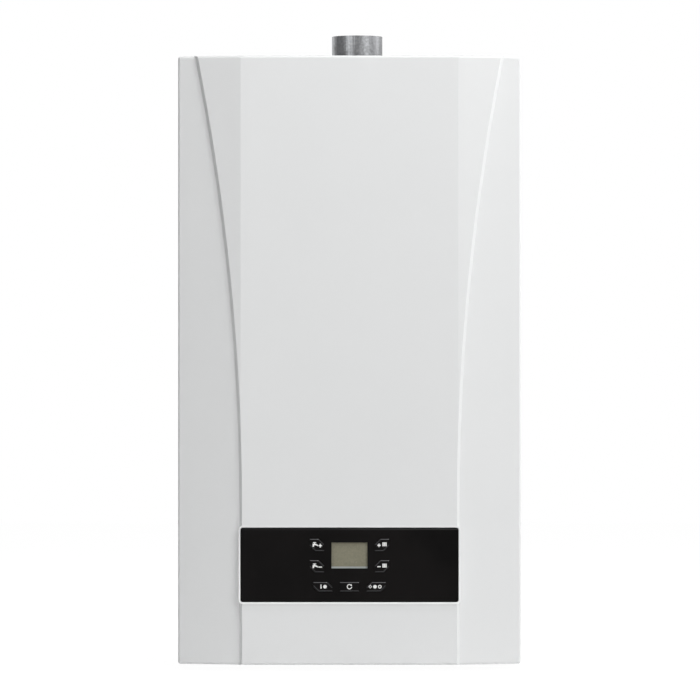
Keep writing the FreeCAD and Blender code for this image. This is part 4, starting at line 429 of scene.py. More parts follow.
mill = spot.stretched(0.08, 1.0, 1.0).noise(1100.0, 2.0)
end_finish(raw_aluminium, {
    "Base Color": spot.mixed(ALUMINIUM_LIGHT, ALUMINIUM_DULL, spot.noise(30.0, 3.0)),
    "Roughness": 0.28 + mill * 0.2,
    "Normal": mill.relief(0.00004, 0.4),
})
dress(raw_aluminium, "gas_manifold")

# Insulation boards
# Pressed ceramic fibre, pale and matt, cut with a knife so that loose fibres show.
FIBRE_PALE = tone(0.74, 0.72, 0.66)
FIBRE_DARK = tone(0.60, 0.57, 0.50)
fibre, spot = start_finish("ceramic_fibre", {"Specular IOR Level": 0.1})
strand = spot.stretched(1.0, 1.0, 0.25).noise(700.0, 4.0)
end_finish(fibre, {
    "Base Color": spot.mixed(FIBRE_PALE, FIBRE_DARK, strand),
    "Roughness": 0.85 + strand * 0.12,
    "Normal": strand.relief(0.0006, 0.6),
})
dress(fibre, "insulation_boards")

# Ignition electrodes and flame sensor
# Glazed ceramic sleeves with a heat-proof wire tip, clamped by a small steel plate on the chamber.
chamber_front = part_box("combustion_chamber")[0].y
PLATE_GAUGE = 0.002
SLEEVE_REACH = 0.024
METAL_EDGE = 0.0003
SLEEVE_WHITE = tone(0.80, 0.79, 0.75)
SLEEVE_STAINED = tone(0.72, 0.69, 0.62)
glazed, spot = start_finish("glazed_ceramic", {"Specular IOR Level": 0.5})
depth = spot.part("Y")
on_plate = depth.rise(chamber_front - PLATE_GAUGE - METAL_EDGE, chamber_front - PLATE_GAUGE)
on_plate = on_plate * (1 - depth.rise(chamber_front, chamber_front + METAL_EDGE))
on_wire = depth.rise(chamber_front + SLEEVE_REACH - METAL_EDGE, chamber_front + SLEEVE_REACH)
metal_share = on_plate + on_wire
speck = spot.noise(300.0, 3.0)
sleeve = spot.mixed(SLEEVE_WHITE, SLEEVE_STAINED, speck)
end_finish(glazed, {
    "Base Color": spot.mixed(sleeve, STAINLESS, metal_share),
    "Metallic": metal_share,
    "Roughness": 0.16 + metal_share * 0.2 + speck * 0.06,
})
dress(glazed, "ignition_electrodes", "flame_sensor")

# Flue hood, fan housing and fan wheel
# Aluminised sheet, folded and spot welded; the volute's outlet carries the flange of the flue stub.
HOOD_BRIGHT = tone(0.54, 0.55, 0.55)
HOOD_SOOTED = tone(0.40, 0.39, 0.375)
hood_sheet, spot = start_finish("aluminised_sheet", {"Metallic": 1.0})
rolled = spot.stretched(1.0, 1.0, 0.05).noise(1000.0, 2.0)
soot = spot.noise(18.0, 4.0)
end_finish(hood_sheet, {
    "Base Color": spot.mixed(HOOD_BRIGHT, HOOD_SOOTED, soot.rise(0.45, 0.8)),
    "Roughness": 0.36 + soot * 0.18 + rolled * 0.06,
    "Normal": rolled.relief(0.00004, 0.4),
})
dress(hood_sheet, "flue_hood", "fan_housing", "fan_impeller")

# Fan motor
# A shaded-pole motor in a black moulded case, screwed on the front of the volute.
dark_plastic = moulded("dark_moulding", tone(0.045, 0.045, 0.048), tone(0.032, 0.032, 0.034), 0.46)
dress(dark_plastic, "fan_motor")

# Air pressure switch and its tubes
# A grey moulded disc with a membrane inside, clipped to the air box wall, and two silicone tubes.
grey_plastic = moulded("grey_moulding", tone(0.36, 0.37, 0.38), tone(0.30, 0.31, 0.32), 0.42)
dress(grey_plastic, "air_pressure_switch")
SILICONE_CLEAR = tone(0.62, 0.60, 0.56)
SILICONE_AGED = tone(0.52, 0.50, 0.46)
silicone, spot = start_finish("silicone_tube", {"Specular IOR Level": 0.4, "Subsurface Weight": 0.1})
bloom = spot.noise(80.0, 3.0)
end_finish(silicone, {
    "Base Color": spot.mixed(SILICONE_CLEAR, SILICONE_AGED, bloom),
    "Roughness": 0.42 + bloom * 0.2,
    "Normal": spot.noise(900.0).relief(0.00003, 0.3),
})
dress(silicone, "pressure_tubes")

# Flue stub
# A spigot of rolled and seam-welded aluminium tube on the fan's outlet, over which the flue pipe
# is pushed. Painted reflections lie along it in bands, and its foot is darker in patches on the left.
stub_low, stub_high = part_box("flue_stub")
stub_x = (stub_low.x + stub_high.x) / 2
stub_y = (stub_low.y + stub_high.y) / 2
STUB_LIGHT = tone(0.655, 0.67, 0.69)
STUB_DARK = tone(0.029, 0.028, 0.029)
STUB_SMUDGE = tone(0.15, 0.145, 0.145)
# Painted reflections: the grey tones of the bands, set round the tube's axis in its base colour.
ROLL_BANDS = [(0.0, 0.50), (0.31, 0.60), (0.35, 0.15), (0.41, 0.17), (0.445, 0.66),
              (0.485, 0.15), (0.56, 0.38), (0.63, 0.17), (0.72, 0.34), (1.0, 0.50)]
BAND_TURN = 0.48
SMUDGE_TOP = (0.702, 0.726)
SMUDGE_SIDE = (-0.5, 0.1)
rolled_tube, spot = start_finish("rolled_flue_tube", {"Metallic": 1.0})
around = spot.from_centre(stub_x, stub_y, 0.0)
turn = around.math("ARCTAN2", around.part("X"), -1 * around.part("Y"))
fine = spot.stretched(1.0, 1.0, 0.05).noise(700.0, 3.0)
sweep = turn * (1 / math.tau) + BAND_TURN + fine * 0.04
pickled = spot.noise(380.0, 3.0).rise(0.3, 0.7)
band_tone = sweep.node("ValToRGB", {"stops": ROLL_BANDS}, {"Fac": sweep}) * (0.78 + pickled * 0.44)
# Darker in patches at the foot, on the left side of the tube.
smudge = spot.stretched(1.0, 1.0, 1.6).noise(60.0, 5.0).rise(0.52, 0.72)
smudge = smudge * (1 - spot.part("Z").rise(*SMUDGE_TOP)) * (1 - turn.rise(*SMUDGE_SIDE))
end_finish(rolled_tube, {
    "Base Color": spot.mixed(spot.mixed(STUB_DARK, STUB_LIGHT, band_tone), STUB_SMUDGE, smudge),
    "Roughness": 0.34 + fine * 0.12 + pickled * 0.08 + smudge * 0.15,
    "Normal": fine.relief(0.00005, 0.4),
})
dress(rolled_tube, "flue_stub")

# Air box with its cover, screws and sight glass
# Galvanised sheet closed by a pressed cover, so that the fan draws its air only through the ring
# round the flue stub. Six screws hold the cover, and a glass in a steel ring shows the flame.
dress(zinc, "air_box", "air_box_cover")
sight_low, sight_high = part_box("sight_glass")
GLASS_RADIUS = 0.0115
RING_EDGE = 0.0004
DARK_GLASS = tone(0.015, 0.018, 0.022)
sight, spot = start_finish("sight_glass_in_ring", {"Specular IOR Level": 0.6})
middle = spot.from_centre(0.0, 0.0, (sight_low.z + sight_high.z) / 2)
flat = middle.stretched(1.0, 0.0, 1.0)
off_middle = flat.node("VectorMath", {"operation": "LENGTH"}, {0: flat}, "Value")
ring = off_middle.rise(GLASS_RADIUS, GLASS_RADIUS + RING_EDGE)
haze = spot.noise(160.0, 3.0)
end_finish(sight, {
    "Base Color": spot.mixed(DARK_GLASS, STAINLESS, ring),
    "Metallic": ring,
    "Roughness": 0.05 + ring * 0.25 + haze * 0.05,
})
dress(sight, "sight_glass")

# Shares of a screw head's height or radius.
HEAD_DOME = 0.45
RECESS_LENGTH = 1.15
RECESS_WIDTH = 0.28
RECESS_DEPTH = 0.9


def cross_head(place, radius, height, up):
    """A domed screw head with a cross recess, made at a place; up is the way that it looks."""
    begin_piece()
    bpy.ops.mesh.primitive_cylinder_add(vertices=32, radius=radius, depth=height, end_fill_type="NGON")
    head = bpy.context.object
    apply_modifier("BEVEL", width=height * HEAD_DOME, segments=4, limit_method="ANGLE")
    for angle in (0.0, math.pi / 2):
        bpy.ops.mesh.primitive_cube_add(size=1.0, location=(0, 0, height / 2), rotation=(0, 0, angle))
        slot = bpy.context.object
        slot.scale = (radius * RECESS_LENGTH, radius * RECESS_WIDTH, height * RECESS_DEPTH)
        bpy.ops.object.transform_apply(location=True, rotation=True, scale=True)
        bpy.ops.object.select_all(action="DESELECT")
        head.select_set(True)
        bpy.context.view_layer.objects.active = head
        apply_modifier("BOOLEAN", operation="DIFFERENCE", object=slot, solver="EXACT")
        bpy.data.objects.remove(slot)
    bpy.ops.object.shade_smooth_by_angle(angle=math.radians(35))
    head.rotation_euler = up.to_track_quat("Z", "Y").to_euler()
    head.location = place + up * (height / 2)
    return head


def join_pieces(pieces):
    """Make several new pieces one mesh."""
    begin_piece()
    for piece in pieces:
        piece.select_set(True)
    bpy.context.view_layer.objects.active = pieces[0]
    bpy.ops.object.transform_apply(location=True, rotation=True, scale=True)
    bpy.ops.object.join()


FORWARD = Vector((0, -1, 0))
low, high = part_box("cover_screws")
HEAD_RADIUS = 0.004
heads = []
for x in (low.x + HEAD_RADIUS, high.x - HEAD_RADIUS):
    for z in (low.z + HEAD_RADIUS, (low.z + high.z) / 2, high.z - HEAD_RADIUS):
        heads.append(cross_head(Vector((x, high.y, z)), HEAD_RADIUS, high.y - low.y, FORWARD))
join_pieces(heads)
screw_heads = end_piece("cover_screw_heads", "chassis", brushed)
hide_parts("cover_screws")

# Front rail
# An angle of galvanised sheet between the side panels; the shanks of the casing's screws slide into
# its slots, and the control box hangs on its two ears.
dress(zinc, "front_rail")

# Control box, its rear cover and hinge pins
# Black flame-proof mouldings that keep the boards dry. The cover closes the box from behind, and two
# steel pins hang the box on the rail.
dress(dark_plastic, "control_box", "control_cover")
dress(brushed, "hinge_pins")

# Main board, display board and key switches
# Printed boards with a green solder mask over copper tracks. The main one carries a transformer and
# three relays; the small one carries the seven push switches.
TRACK_WIDTH = 0.0009
TRACK_LENGTH = 0.017
TRACK_PITCH = 0.0052
PADS_PER_METRE = 130.0
PAD_EDGE = (0.12, 0.16)
BOARD_BACK = 0.0003
BOARD_SKIN = 0.0001
MASK_GREEN = tone(0.012, 0.085, 0.032)
MASK_ON_TRACK = tone(0.03, 0.19, 0.075)
TINNED = tone(0.58, 0.57, 0.53)


def printed_board(name, face):
    """Solder mask over tracks and pads; parts that stand off the board are dark resin."""
    finish, spot = start_finish(name, {"Specular IOR Level": 0.5})
    flat = spot.node("CombineXYZ", inputs={"X": spot.part("X"), "Y": spot.part("Z")})
    tracks = flat.node("TexBrick", {"offset": 0.37, "squash": 1.6}, {
        "Vector": flat, "Scale": 1.0, "Mortar Size": TRACK_WIDTH, "Mortar Smooth": 0.1,
        "Brick Width": TRACK_LENGTH, "Row Height": TRACK_PITCH}, "Fac")
    off_pad = flat.node("TexVoronoi", inputs={"Vector": flat, "Scale": PADS_PER_METRE, "Randomness": 0.35})
    pads = 1 - off_pad.rise(*PAD_EDGE)
    on_board = spot.part("Y").rise(face - BOARD_BACK, face - BOARD_SKIN)
    mask = spot.mixed(MASK_GREEN, MASK_ON_TRACK, tracks)
    tinned = spot.mixed(mask, TINNED, pads)
    end_finish(finish, {
        "Base Color": spot.mixed(RESIN_BLACK, tinned, on_board),
        "Metallic": pads * on_board,
        "Roughness": 0.42 - on_board * 0.14 + spot.noise(900.0) * 0.06,
        "Normal": (tracks + pads).relief(0.0001, 0.6),
    })
    return finish


BOARD_GAUGE = 0.0016
main_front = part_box("main_board")[1].y - BOARD_GAUGE
dress(printed_board("main_board_mask", main_front), "main_board")
dress(printed_board("display_board_mask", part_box("display_board")[0].y), "display_board")
dress(grey_plastic, "key_switches")

# Control fascia
# A tray moulded in black with a silky gloss, snapped on the control box and seen through the
# casing's window. Its rim is rounded and catches a thin line of light along the top.
FASCIA_BLACK = tone(0.0047, 0.0043, 0.0043)
FASCIA_WARM = tone(0.0075, 0.0067, 0.0066)
RIM_DOWN = 0.0015
RIM_LINE = (0.0003, 0.0008)
RIM_SIDE = 0.12
silk_black, spot = start_finish("silky_black", {"Specular IOR Level": 0.03, "Coat Roughness": 0.15})
swirl = spot.noise(9.0, 3.0).rise(0.38, 0.66)
grit = spot.noise(1300.0, 1.0)
rim_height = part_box("control_fascia")[1].z - RIM_DOWN
rim_glint = 1 - abs(spot.part("Z") - rim_height).rise(*RIM_LINE)
end_finish(silk_black, {
    "Base Color": spot.mixed(FASCIA_BLACK, FASCIA_WARM, swirl),
    "Roughness": 0.24 + swirl * 0.12 + grit * 0.05,
    "Coat Weight": rim_glint * (0.14 + spot.part("X").rise(-RIM_SIDE, RIM_SIDE) * 0.5),
    "Normal": grit.relief(0.00002, 0.3),
})
dress(silk_black, "control_fascia")

# Display module and its window
# A liquid crystal cell without back light, olive grey, behind a clear polycarbonate sheet. Its case
# is black. A painted highlight lightens the cell's lower edge, and painted shade darkens the cell near its
# edges.
low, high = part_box("display_window")
window_middle = (low.z + high.z) / 2
CELL_OLIVE = tone(0.272, 0.258, 0.186)
CELL_SHADE = tone(0.205, 0.196, 0.144)
CELL_EDGE = tone(0.50, 0.53, 0.52)
CASE_BLACK = tone(0.01, 0.01, 0.01)
SHADE_SIDE = 0.0024
SHADE_TOP = 0.0020
INNER_LINE = 0.0026
INNER_LINE_EDGE = (0.0003, 0.0006)
LIT_EDGE = (0.0014, 0.0025)
GLASS_BACK = (0.0010, 0.0012)
cell, spot = start_finish("liquid_crystal_cell", {"Specular IOR Level": 0.2})
module_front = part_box("display_module")[0].y
half_width = (high.x - low.x) / 2
half_height = (high.z - low.z) / 2
inward_x = half_width - abs(spot.part("X"))
inward_z = half_height - abs(spot.part("Z") - window_middle)
# Painted shade near the window's edges, and below it a painted highlight along the cell's lower edge.
rim_shade = 1 - (inward_x.rise(0.0, SHADE_SIDE) * inward_z.rise(0.0, SHADE_TOP))
rim_line = (1 - abs(inward_x - INNER_LINE).rise(*INNER_LINE_EDGE)) * 0.5
lower_edge = 1 - (spot.part("Z") - low.z).rise(*LIT_EDGE)
mottle = spot.noise(520.0, 2.0).rise(0.32, 0.68)
face_tone = spot.mixed(CELL_OLIVE, CELL_SHADE, mottle * 0.5 + rim_shade * 0.5 + rim_line)
on_glass = 1 - spot.part("Y").rise(module_front + GLASS_BACK[0], module_front + GLASS_BACK[1])
end_finish(cell, {
    "Base Color": spot.mixed(CASE_BLACK, spot.mixed(face_tone, CELL_EDGE, lower_edge), on_glass),
    "Roughness": 0.42 + mottle * 0.16,
})
dress(cell, "display_module")
SHEET_TINT = tone(0.02, 0.02, 0.02)
clear, spot = start_finish("clear_polycarbonate", {"Base Color": SHEET_TINT, "Specular IOR Level": 0.25})
rubbed = spot.noise(240.0, 3.0)
end_finish(clear, {"Roughness": 0.06 + rubbed * 0.08, "Alpha": 0.04 + rubbed * 0.02})
dress(clear, "display_window")

# Keys
# Seven black caps moulded like the fascia, each let into its own opening. A fine grey line of painted
# highlight runs along the top, the bottom and any cut corners of a cap, brightest along the top with a
# painted glint at its right end, and a white sign shows what the key does.
dress(silk_black, *[name for name in frame["nodes"] if name.startswith("key_") and name != "key_switches"])
THIN_INK = 0.86


def printed_ink(name, colour):
    """A flat colour, slightly uneven where the mesh left it thinner; screen ink on the signs, painted
    highlight on the keys' edge lines.
    """
    finish, spot = start_finish(name, {"Specular IOR Level": 0.2})
    thin = spot.noise(1800.0, 2.0)
    end_finish(finish, {
        "Base Color": spot.mixed(tone(*colour), tone(*[part * THIN_INK for part in colour]), thin),
        "Roughness": 0.5 + thin * 0.12,
    })
    return finish


white_ink = printed_ink("white_ink", (0.92, 0.92, 0.91))
bright_ink = printed_ink("bright_line_ink", (0.125, 0.125, 0.13))
faint_ink = printed_ink("faint_line_ink", (0.055, 0.055, 0.058))
glint_ink = printed_ink("line_end_ink", (0.32, 0.32, 0.33))
INK = 0.00006
LINE = 0.0008


def face_sheet(centre, width, height):
    """A flat sheet that looks forward, its middle at a centre."""
    begin_piece()
    bpy.ops.mesh.primitive_plane_add(size=1.0, location=centre, rotation=(math.pi / 2, 0, 0))
    sheet = bpy.context.object
    sheet.scale = (width, height, 1)
    bpy.ops.object.transform_apply(location=True, rotation=True, scale=True)
    return sheet


def round_sheet(centre, radius, sides, hole=0.0, turn=0.0):
    """A flat disc, or a ring where it has a hole, that looks forward; turn moves its first corner."""
    begin_piece()
    bpy.ops.mesh.primitive_circle_add(vertices=sides, radius=radius, fill_type="NGON", location=centre,
                                      rotation=(math.pi / 2, turn, 0))
    sheet = bpy.context.object
    bpy.ops.object.transform_apply(location=True, rotation=True, scale=True)
    if hole:
        bpy.ops.object.mode_set(mode="EDIT")
        bpy.ops.mesh.select_all(action="SELECT")
        bpy.ops.mesh.inset(thickness=(radius - hole) * math.cos(math.pi / sides))
        bpy.ops.mesh.delete(type="FACE")
        bpy.ops.object.mode_set(mode="OBJECT")
    return sheet


def select_only(piece, kind, rule):
    """Select the corners, edges or faces whose middle a rule picks, and go to edit mode."""
    mesh = piece.data
    for part in (mesh.vertices, mesh.edges, mesh.polygons):
        part.foreach_set("select", [False] * len(part))
    for part in getattr(mesh, kind):
        corners = [part.index] if kind == "vertices" else part.vertices
        places = [mesh.vertices[index].co for index in corners]
        part.select = rule(sum(places[1:], places[0].copy()) / len(places))
    mode = {"vertices": "VERT", "edges": "EDGE", "polygons": "FACE"}[kind]
    bpy.ops.object.mode_set(mode="EDIT")
    bpy.ops.mesh.select_mode(type=mode)


def pull_edge(piece, near, by):
    """Extrude the edge whose middle lies nearest to a place."""
    corners = piece.data.vertices
    ends = [edge.vertices for edge in piece.data.edges]
    middles = [(corners[first].co + corners[last].co) / 2 for first, last in ends]
    nearest = min(middles, key=lambda middle: (middle - near).length)
    select_only(piece, "edges", lambda middle: (middle - nearest).length < 1e-7)
    bpy.ops.mesh.extrude_region_move(TRANSFORM_OT_translate={"value": by})
    bpy.ops.object.mode_set(mode="OBJECT")


KEY_FLANGE = 0.0012


def key_front(key):
    """The middle of a key's face, and half its width and height without the hidden flange."""
    low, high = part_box(key)
    middle = (low + high) / 2
    middle.y = low.y - INK / 4
    return middle, (high.x - low.x) / 2 - KEY_FLANGE, (high.z - low.z) / 2 - KEY_FLANGE


SIDE_CUT = 0.0066
ROW_CUT = 0.0062
LINE_END = 0.0012
KEY_CUTS = {
    "key_water_plus": ("falling", SIDE_CUT), "key_water_minus": ("falling", SIDE_CUT),
    "key_heating_plus": ("rising", SIDE_CUT), "key_heating_minus": ("rising", SIDE_CUT),
    "key_season": ("falling", ROW_CUT), "key_reset": ("square", 0.0), "key_power": ("rising", ROW_CUT),
}
for key, (slant, cut) in KEY_CUTS.items():
    middle, half_width, half_height = key_front(key)
    outline = face_sheet(middle, 2 * half_width, 2 * half_height)
    if slant != "square":
        side = 1.0 if slant == "falling" else -1.0
        select_only(outline, "vertices",
                    lambda place: (place.x - middle.x) * (place.z - middle.z) * side > 0)
        bpy.ops.mesh.bevel(offset=cut, affect="VERTICES", segments=1)
    else:
        bpy.ops.object.mode_set(mode="EDIT")
    bpy.ops.mesh.select_mode(type="FACE")
    bpy.ops.mesh.select_all(action="SELECT")
    bpy.ops.mesh.inset(thickness=LINE)
    bpy.ops.mesh.delete(type="FACE")
    bpy.ops.object.mode_set(mode="OBJECT")
    select_only(outline, "polygons", lambda place: abs(place.x - middle.x) > half_width - LINE)
    bpy.ops.mesh.delete(type="FACE")
    bpy.ops.mesh.select_all(action="SELECT")
    end_x = middle.x + half_width - LINE_END - (cut if slant == "falling" else 0.0)
    bpy.ops.mesh.bisect(plane_co=(end_x, 0, 0), plane_no=(1, 0, 0))
    bpy.ops.object.mode_set(mode="OBJECT")
    apply_modifier("SOLIDIFY", thickness=INK, offset=1.0)
    end_piece(key + "_outline", key + "_body", faint_ink)
    outline.data.materials.append(bright_ink)
    outline.data.materials.append(glint_ink)
    # Painted highlights along the key's edges: faint along the bottom and cut corners, brighter along the
    # top, and a painted glint at the top line's right end.
    for face in outline.data.polygons:
        on_top = face.center.z > middle.z + half_height - LINE
        face.material_index = int(on_top) * (2 if face.center.x > end_x else 1)


def spot_on(key, x, z):
    """A place on a key's face, in millimetres from its middle."""
    middle = key_front(key)[0]
    middle.x += x / 1000
    middle.z += z / 1000
    return middle


def print_sign(key, sheets):
    """Join flat shapes, give them the ink's thickness and print them on a key."""
    join_pieces(sheets)
    apply_modifier("SOLIDIFY", thickness=INK, offset=1.0)
    end_piece(key + "_sign", key + "_body", white_ink)


# On the keys, places, arms, pulls and the stroke are in millimetres; widths, heights and radii are in
# metres.
STROKE = 1.25


def bar_sign(key, x, z, arm, upright):
    """A plus sign, or a minus sign where it isn't upright."""
    sign = face_sheet(spot_on(key, x, z), STROKE / 1000, STROKE / 1000)
    reach = (arm - STROKE / 2) / 1000
    ways = ((1, 0), (-1, 0), (0, 1), (0, -1)) if upright else ((1, 0), (-1, 0))
    for right, up in ways:
        edge = spot_on(key, x + right * STROKE / 2, z + up * STROKE / 2)
        pull_edge(sign, edge, (right * reach, 0, up * reach))
    return sign


TAP_MOUTH = (-4.2, -1.3)
MOUTH_WIDTH = 0.0016
MOUTH_HEIGHT = 0.0018
# Each pull has the middle of the edge where it starts, and the way that it goes.
TAP_PULLS = (
    ((-4.2, -0.4), (0.0, 1.7)),
    ((-3.4, 0.45), (1.2, 0.0)),
    ((-2.2, 0.45), (1.0, 0.0)),
    ((-1.2, 0.45), (2.2, -1.3)),
    ((-2.8, 1.3), (0.0, 0.8)),
    ((-2.8, 2.1), (0.0, 1.0)),
    ((-3.4, 2.6), (-1.2, 0.0)),
    ((-2.2, 2.6), (1.2, 0.0)),
)


def tap_sign(key):
    """A tap seen from the side: its mouth, the body with a pipe behind, and a stem with a cross handle."""
    tap = face_sheet(spot_on(key, *TAP_MOUTH), MOUTH_WIDTH, MOUTH_HEIGHT)
    for (x, z), (right, up) in TAP_PULLS:
        pull_edge(tap, spot_on(key, x, z), (right / 1000, 0, up / 1000))
    return tap


RADIATOR_PLACE = (2.9, 0.7)
RADIATOR_WIDTH = 0.0052
RADIATOR_HEIGHT = 0.0048
COLUMN_INSET = 0.00016


def radiator_sign(key):
    """Three columns of a radiator."""
    begin_piece()
    bpy.ops.mesh.primitive_grid_add(x_subdivisions=3, y_subdivisions=1, size=1.0,
                                    location=spot_on(key, *RADIATOR_PLACE), rotation=(math.pi / 2, 0, 0))
    columns = bpy.context.object
    columns.scale = (RADIATOR_WIDTH, RADIATOR_HEIGHT, 1)
    bpy.ops.object.transform_apply(location=True, rotation=True, scale=True)
    bpy.ops.object.mode_set(mode="EDIT")
    bpy.ops.mesh.select_mode(type="FACE")
    bpy.ops.mesh.select_all(action="SELECT")
    bpy.ops.mesh.inset(thickness=COLUMN_INSET, use_individual=True)
    bpy.ops.mesh.select_all(action="INVERT")
    bpy.ops.mesh.delete(type="FACE")
    bpy.ops.object.mode_set(mode="OBJECT")
    return columns


WATER_BAR = (3.7, -0.9, 2.1)
HEATING_BAR = (-3.4, -0.5, 2.0)
for key, upright in (("key_water_plus", True), ("key_water_minus", False)):
    print_sign(key, [tap_sign(key), bar_sign(key, *WATER_BAR, upright)])
for key, upright in (("key_heating_plus", True), ("key_heating_minus", False)):
    print_sign(key, [radiator_sign(key), bar_sign(key, *HEATING_BAR, upright)])

DISC = 2.1 / 1000
RING_HOLE = 1.15 / 1000
STEM_FOOT = (-2.1, -1.7)
STEM_EDGE = (-2.1, -1.2)
STEM_WIDTH = 0.0014
STEM_START = 0.0010
STEM_RISE = 0.0018
DOT_PLACE = (-2.1, 1.7)
DOT_SHARE = 0.36
ROUND_PLACE = (2.5, 0)
stem = face_sheet(spot_on("key_season", *STEM_FOOT), STEM_WIDTH, STEM_START)
pull_edge(stem, spot_on("key_season", *STEM_EDGE), (0, 0, STEM_RISE))
dot = round_sheet(spot_on("key_season", *DOT_PLACE), DISC * DOT_SHARE, 12)
print_sign("key_season", [stem, dot, round_sheet(spot_on("key_season", *ROUND_PLACE), DISC, 32)])
# A diamond, a disc and a ring: the place across the key, the corners and the hole of each.
POWER_MARKS = ((-6.7, 4, RING_HOLE), (-1.3, 32, 0.0), (4.2, 32, RING_HOLE))
print_sign("key_power", [round_sheet(spot_on("key_power", x, 0), DISC, sides, hole)
                         for x, sides, hole in POWER_MARKS])

ARROW_GAP = math.radians(58)
ARROW_RADIUS = 0.0030
ARROW_HOLE = 0.0021
TIP_PLACE = (2.0, 1.72)
TIP_RADIUS = 0.0014
TIP_TURN = math.radians(124)
centre = spot_on("key_reset", 0, 0)
arc = round_sheet(centre, ARROW_RADIUS, 40, ARROW_HOLE)
select_only(arc, "polygons",
            lambda place: 0 < math.atan2(place.z - centre.z, place.x - centre.x) < ARROW_GAP)
bpy.ops.mesh.delete(type="FACE")
bpy.ops.object.mode_set(mode="OBJECT")
tip = round_sheet(spot_on("key_reset", *TIP_PLACE), TIP_RADIUS, 3, turn=TIP_TURN)
print_sign("key_reset", [arc, tip])

# Front casing
# One pressed steel pan, powder coated white, whose raised field widens upward along two drawn creases.
# The edge of its window is rolled to a fine round lip that stands out further along the bottom. A painted
# highlight makes the lip whiter towards the bottom, a white line under the fascia.
dress(enamel, "front_casing")
LIP = tone(0.97, 0.975, 0.975)
lip_coat, spot = start_finish("rolled_edge_coat", {"Specular IOR Level": 0.5})
run = spot.noise(300.0, 2.0)
fascia_low, fascia_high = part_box("control_fascia")
# Painted highlight: the lip is white at the bottom and goes over to the enamel towards the top.
thin_coat = spot.part("Z").rise(fascia_low.z, fascia_high.z)
end_finish(lip_coat, {
    "Base Color": spot.mixed(LIP, ENAMEL, run * 0.2 + thin_coat * 0.6),
    "Roughness": 0.2 + run * 0.1,
})
LIP_WIDTH = 0.0022
LIP_ROUND = LIP_WIDTH * 0.24
LIP_PROUD = 0.0002
LIP_LEDGE = 0.0011
LIP_DEPTH = 0.0052
LIP_CORNER = 0.0047
WINDOW_GAP = 0.0003
casing_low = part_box("front_casing")[0]
fascia_middle = (fascia_low + fascia_high) / 2
fascia_middle.y = casing_low.y - LIP_PROUD + LIP_DEPTH
around_fascia = 2 * (WINDOW_GAP + LIP_WIDTH)
lip = face_sheet(fascia_middle, fascia_high.x - fascia_low.x + around_fascia,
                 fascia_high.z - fascia_low.z + around_fascia)
bpy.ops.object.mode_set(mode="EDIT")
bpy.ops.mesh.select_all(action="SELECT")
bpy.ops.mesh.bevel(offset=LIP_CORNER, affect="VERTICES", segments=6)
bpy.ops.mesh.select_all(action="SELECT")
bpy.ops.mesh.inset(thickness=LIP_WIDTH)
bpy.ops.mesh.delete(type="FACE")
bpy.ops.object.mode_set(mode="OBJECT")
apply_modifier("SOLIDIFY", thickness=LIP_DEPTH, offset=1.0)
select_only(lip, "vertices", lambda place: place.y < casing_low.y and place.z < fascia_middle.z)
bpy.ops.transform.translate(value=(0, -LIP_LEDGE, 0))
bpy.ops.object.mode_set(mode="OBJECT")
apply_modifier("BEVEL", width=LIP_ROUND, segments=3, limit_method="ANGLE", angle_limit=math.radians(60))
bpy.ops.object.shade_smooth_by_angle(angle=math.radians(40))
end_piece("window_lip", "casing", lip_coat)

# Casing screws
# Two bright steel pan-head screws under the lower edge, captive in the casing. Their shanks slide into
# the slots of the rail when the casing is pushed on.
low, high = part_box("casing_screws")
SCREW_HEAD = 0.0042
SCREW_HEAD_HEIGHT = 0.0018
SCREW_SHANK = 0.002
SHANK_ROUND = SCREW_SHANK * 0.4
DOWN = Vector((0, 0, -1))
screw_parts = []
for x in (low.x + SCREW_HEAD, high.x - SCREW_HEAD):
    place = (low + high) / 2
    place.x = x
    place.z = low.z + SCREW_HEAD_HEIGHT
    screw_parts.append(cross_head(place, SCREW_HEAD, SCREW_HEAD_HEIGHT, DOWN))
    begin_piece()
    shank_length = high.z - place.z
    bpy.ops.mesh.primitive_cylinder_add(vertices=24, radius=SCREW_SHANK, depth=shank_length,
                                        location=(x, place.y, place.z + shank_length / 2))
    apply_modifier("BEVEL", width=SHANK_ROUND, segments=2, limit_method="ANGLE")
    bpy.ops.object.shade_smooth_by_angle(angle=math.radians(35))
    screw_parts.append(bpy.context.object)
join_pieces(screw_parts)
screws = end_piece("casing_screw_pair", "casing", brushed)
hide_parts("casing_screws")

# Stage: floor, light and camera
# A pale studio floor just under the stubs; a large soft lamp high on the right, smaller ones above, far
# to the right and in front on the left; and a level camera with a long lens in front of the casing.
WHITE = tone(1.0, 1.0, 1.0)
FLOOR_PAINT = tone(0.9, 0.9, 0.9)
FLOOR_SIZE = 9.0
FLOOR_GAP = 0.0005
FLOOR_GLOW = 0.86
FLOOR_WHITE = 1.135
ROOM_LIGHT = 0.10


def seen_rays(holder):
    """Clear the nodes of a material or world; 1 on rays that show it, also in gloss or glass, else 0."""
    holder.use_nodes = True
    tree = holder.node_tree
    tree.nodes.clear()
    rays = tree.nodes.new("ShaderNodeLightPath")
    seen = Shade(tree, rays.outputs["Is Camera Ray"])
    for kind in ("Is Glossy Ray", "Is Transmission Ray"):
        seen = seen.math("MAXIMUM", seen, Shade(tree, rays.outputs[kind]))
    return seen


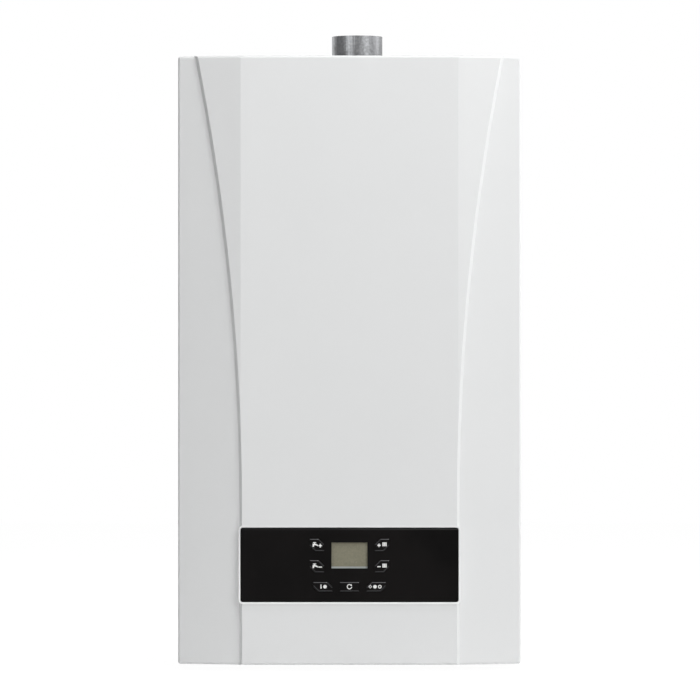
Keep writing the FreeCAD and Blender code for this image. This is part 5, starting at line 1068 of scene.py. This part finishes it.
begin_piece()
bpy.ops.mesh.primitive_plane_add(size=FLOOR_SIZE, location=(0, 0, cad_box[0].z - FLOOR_GAP))
floor = bpy.context.object
floor.name = "studio_floor"
pale = bpy.data.materials.new("pale_floor")
seen = seen_rays(pale)
matt = seen.node("BsdfDiffuse", inputs={"Color": FLOOR_PAINT})
glow = seen.node("Emission", inputs={"Color": WHITE, "Strength": FLOOR_WHITE})
both = seen.node("MixShader", inputs={0: seen * FLOOR_GLOW, 1: matt, 2: glow})
both.node("OutputMaterial", inputs={"Surface": both})
floor.data.materials.append(pale)

world = bpy.data.worlds.new("studio")
bpy.context.scene.world = world
seen = seen_rays(world)
room_light = ROOM_LIGHT + seen * (1 - ROOM_LIGHT)
sky = seen.node("Background", inputs={"Color": WHITE, "Strength": room_light})
sky.node("OutputWorld", inputs={"Surface": sky})

AIM = Vector((0.0, -0.2, 0.36))


def soft_lamp(name, place, size, watts):
    """A square soft box that looks at the middle of the boiler."""
    begin_piece()
    bpy.ops.object.light_add(type="AREA", location=place)
    lamp = bpy.context.object
    lamp.name = name
    lamp.data.shape = "SQUARE"
    lamp.data.size = size
    lamp.data.energy = watts
    lamp.rotation_euler = (lamp.location - AIM).to_track_quat("Z", "Y").to_euler()


soft_lamp("key_lamp", (2.3, -2.6, 2.1), 1.5, 46.8)
soft_lamp("fill_lamp", (-0.8, -3.3, 0.42), 1.0, 13.6)
soft_lamp("rim_lamp", (2.6, 0.30, 0.7), 0.8, 23.4)
soft_lamp("top_lamp", (0.3, -0.9, 2.3), 1.0, 27.8)

CAMERA_X = 0.0006
CAMERA_HEIGHT = 0.3617
CAMERA_DISTANCE = 5.5
FIELD_WIDTH = 0.8037
SENSOR = 36.0
camera = bpy.data.objects.new("camera", bpy.data.cameras.new("camera"))
bpy.context.scene.collection.objects.link(camera)
camera.location = (CAMERA_X, casing_low.y - CAMERA_DISTANCE, CAMERA_HEIGHT)
camera.rotation_euler = (math.pi / 2, 0, 0)
camera.data.sensor_width = SENSOR
camera.data.lens = SENSOR * CAMERA_DISTANCE / FIELD_WIDTH
camera.data.clip_end = 100.0
bpy.context.scene.camera = camera
bpy.context.scene.view_settings.view_transform = "Standard"
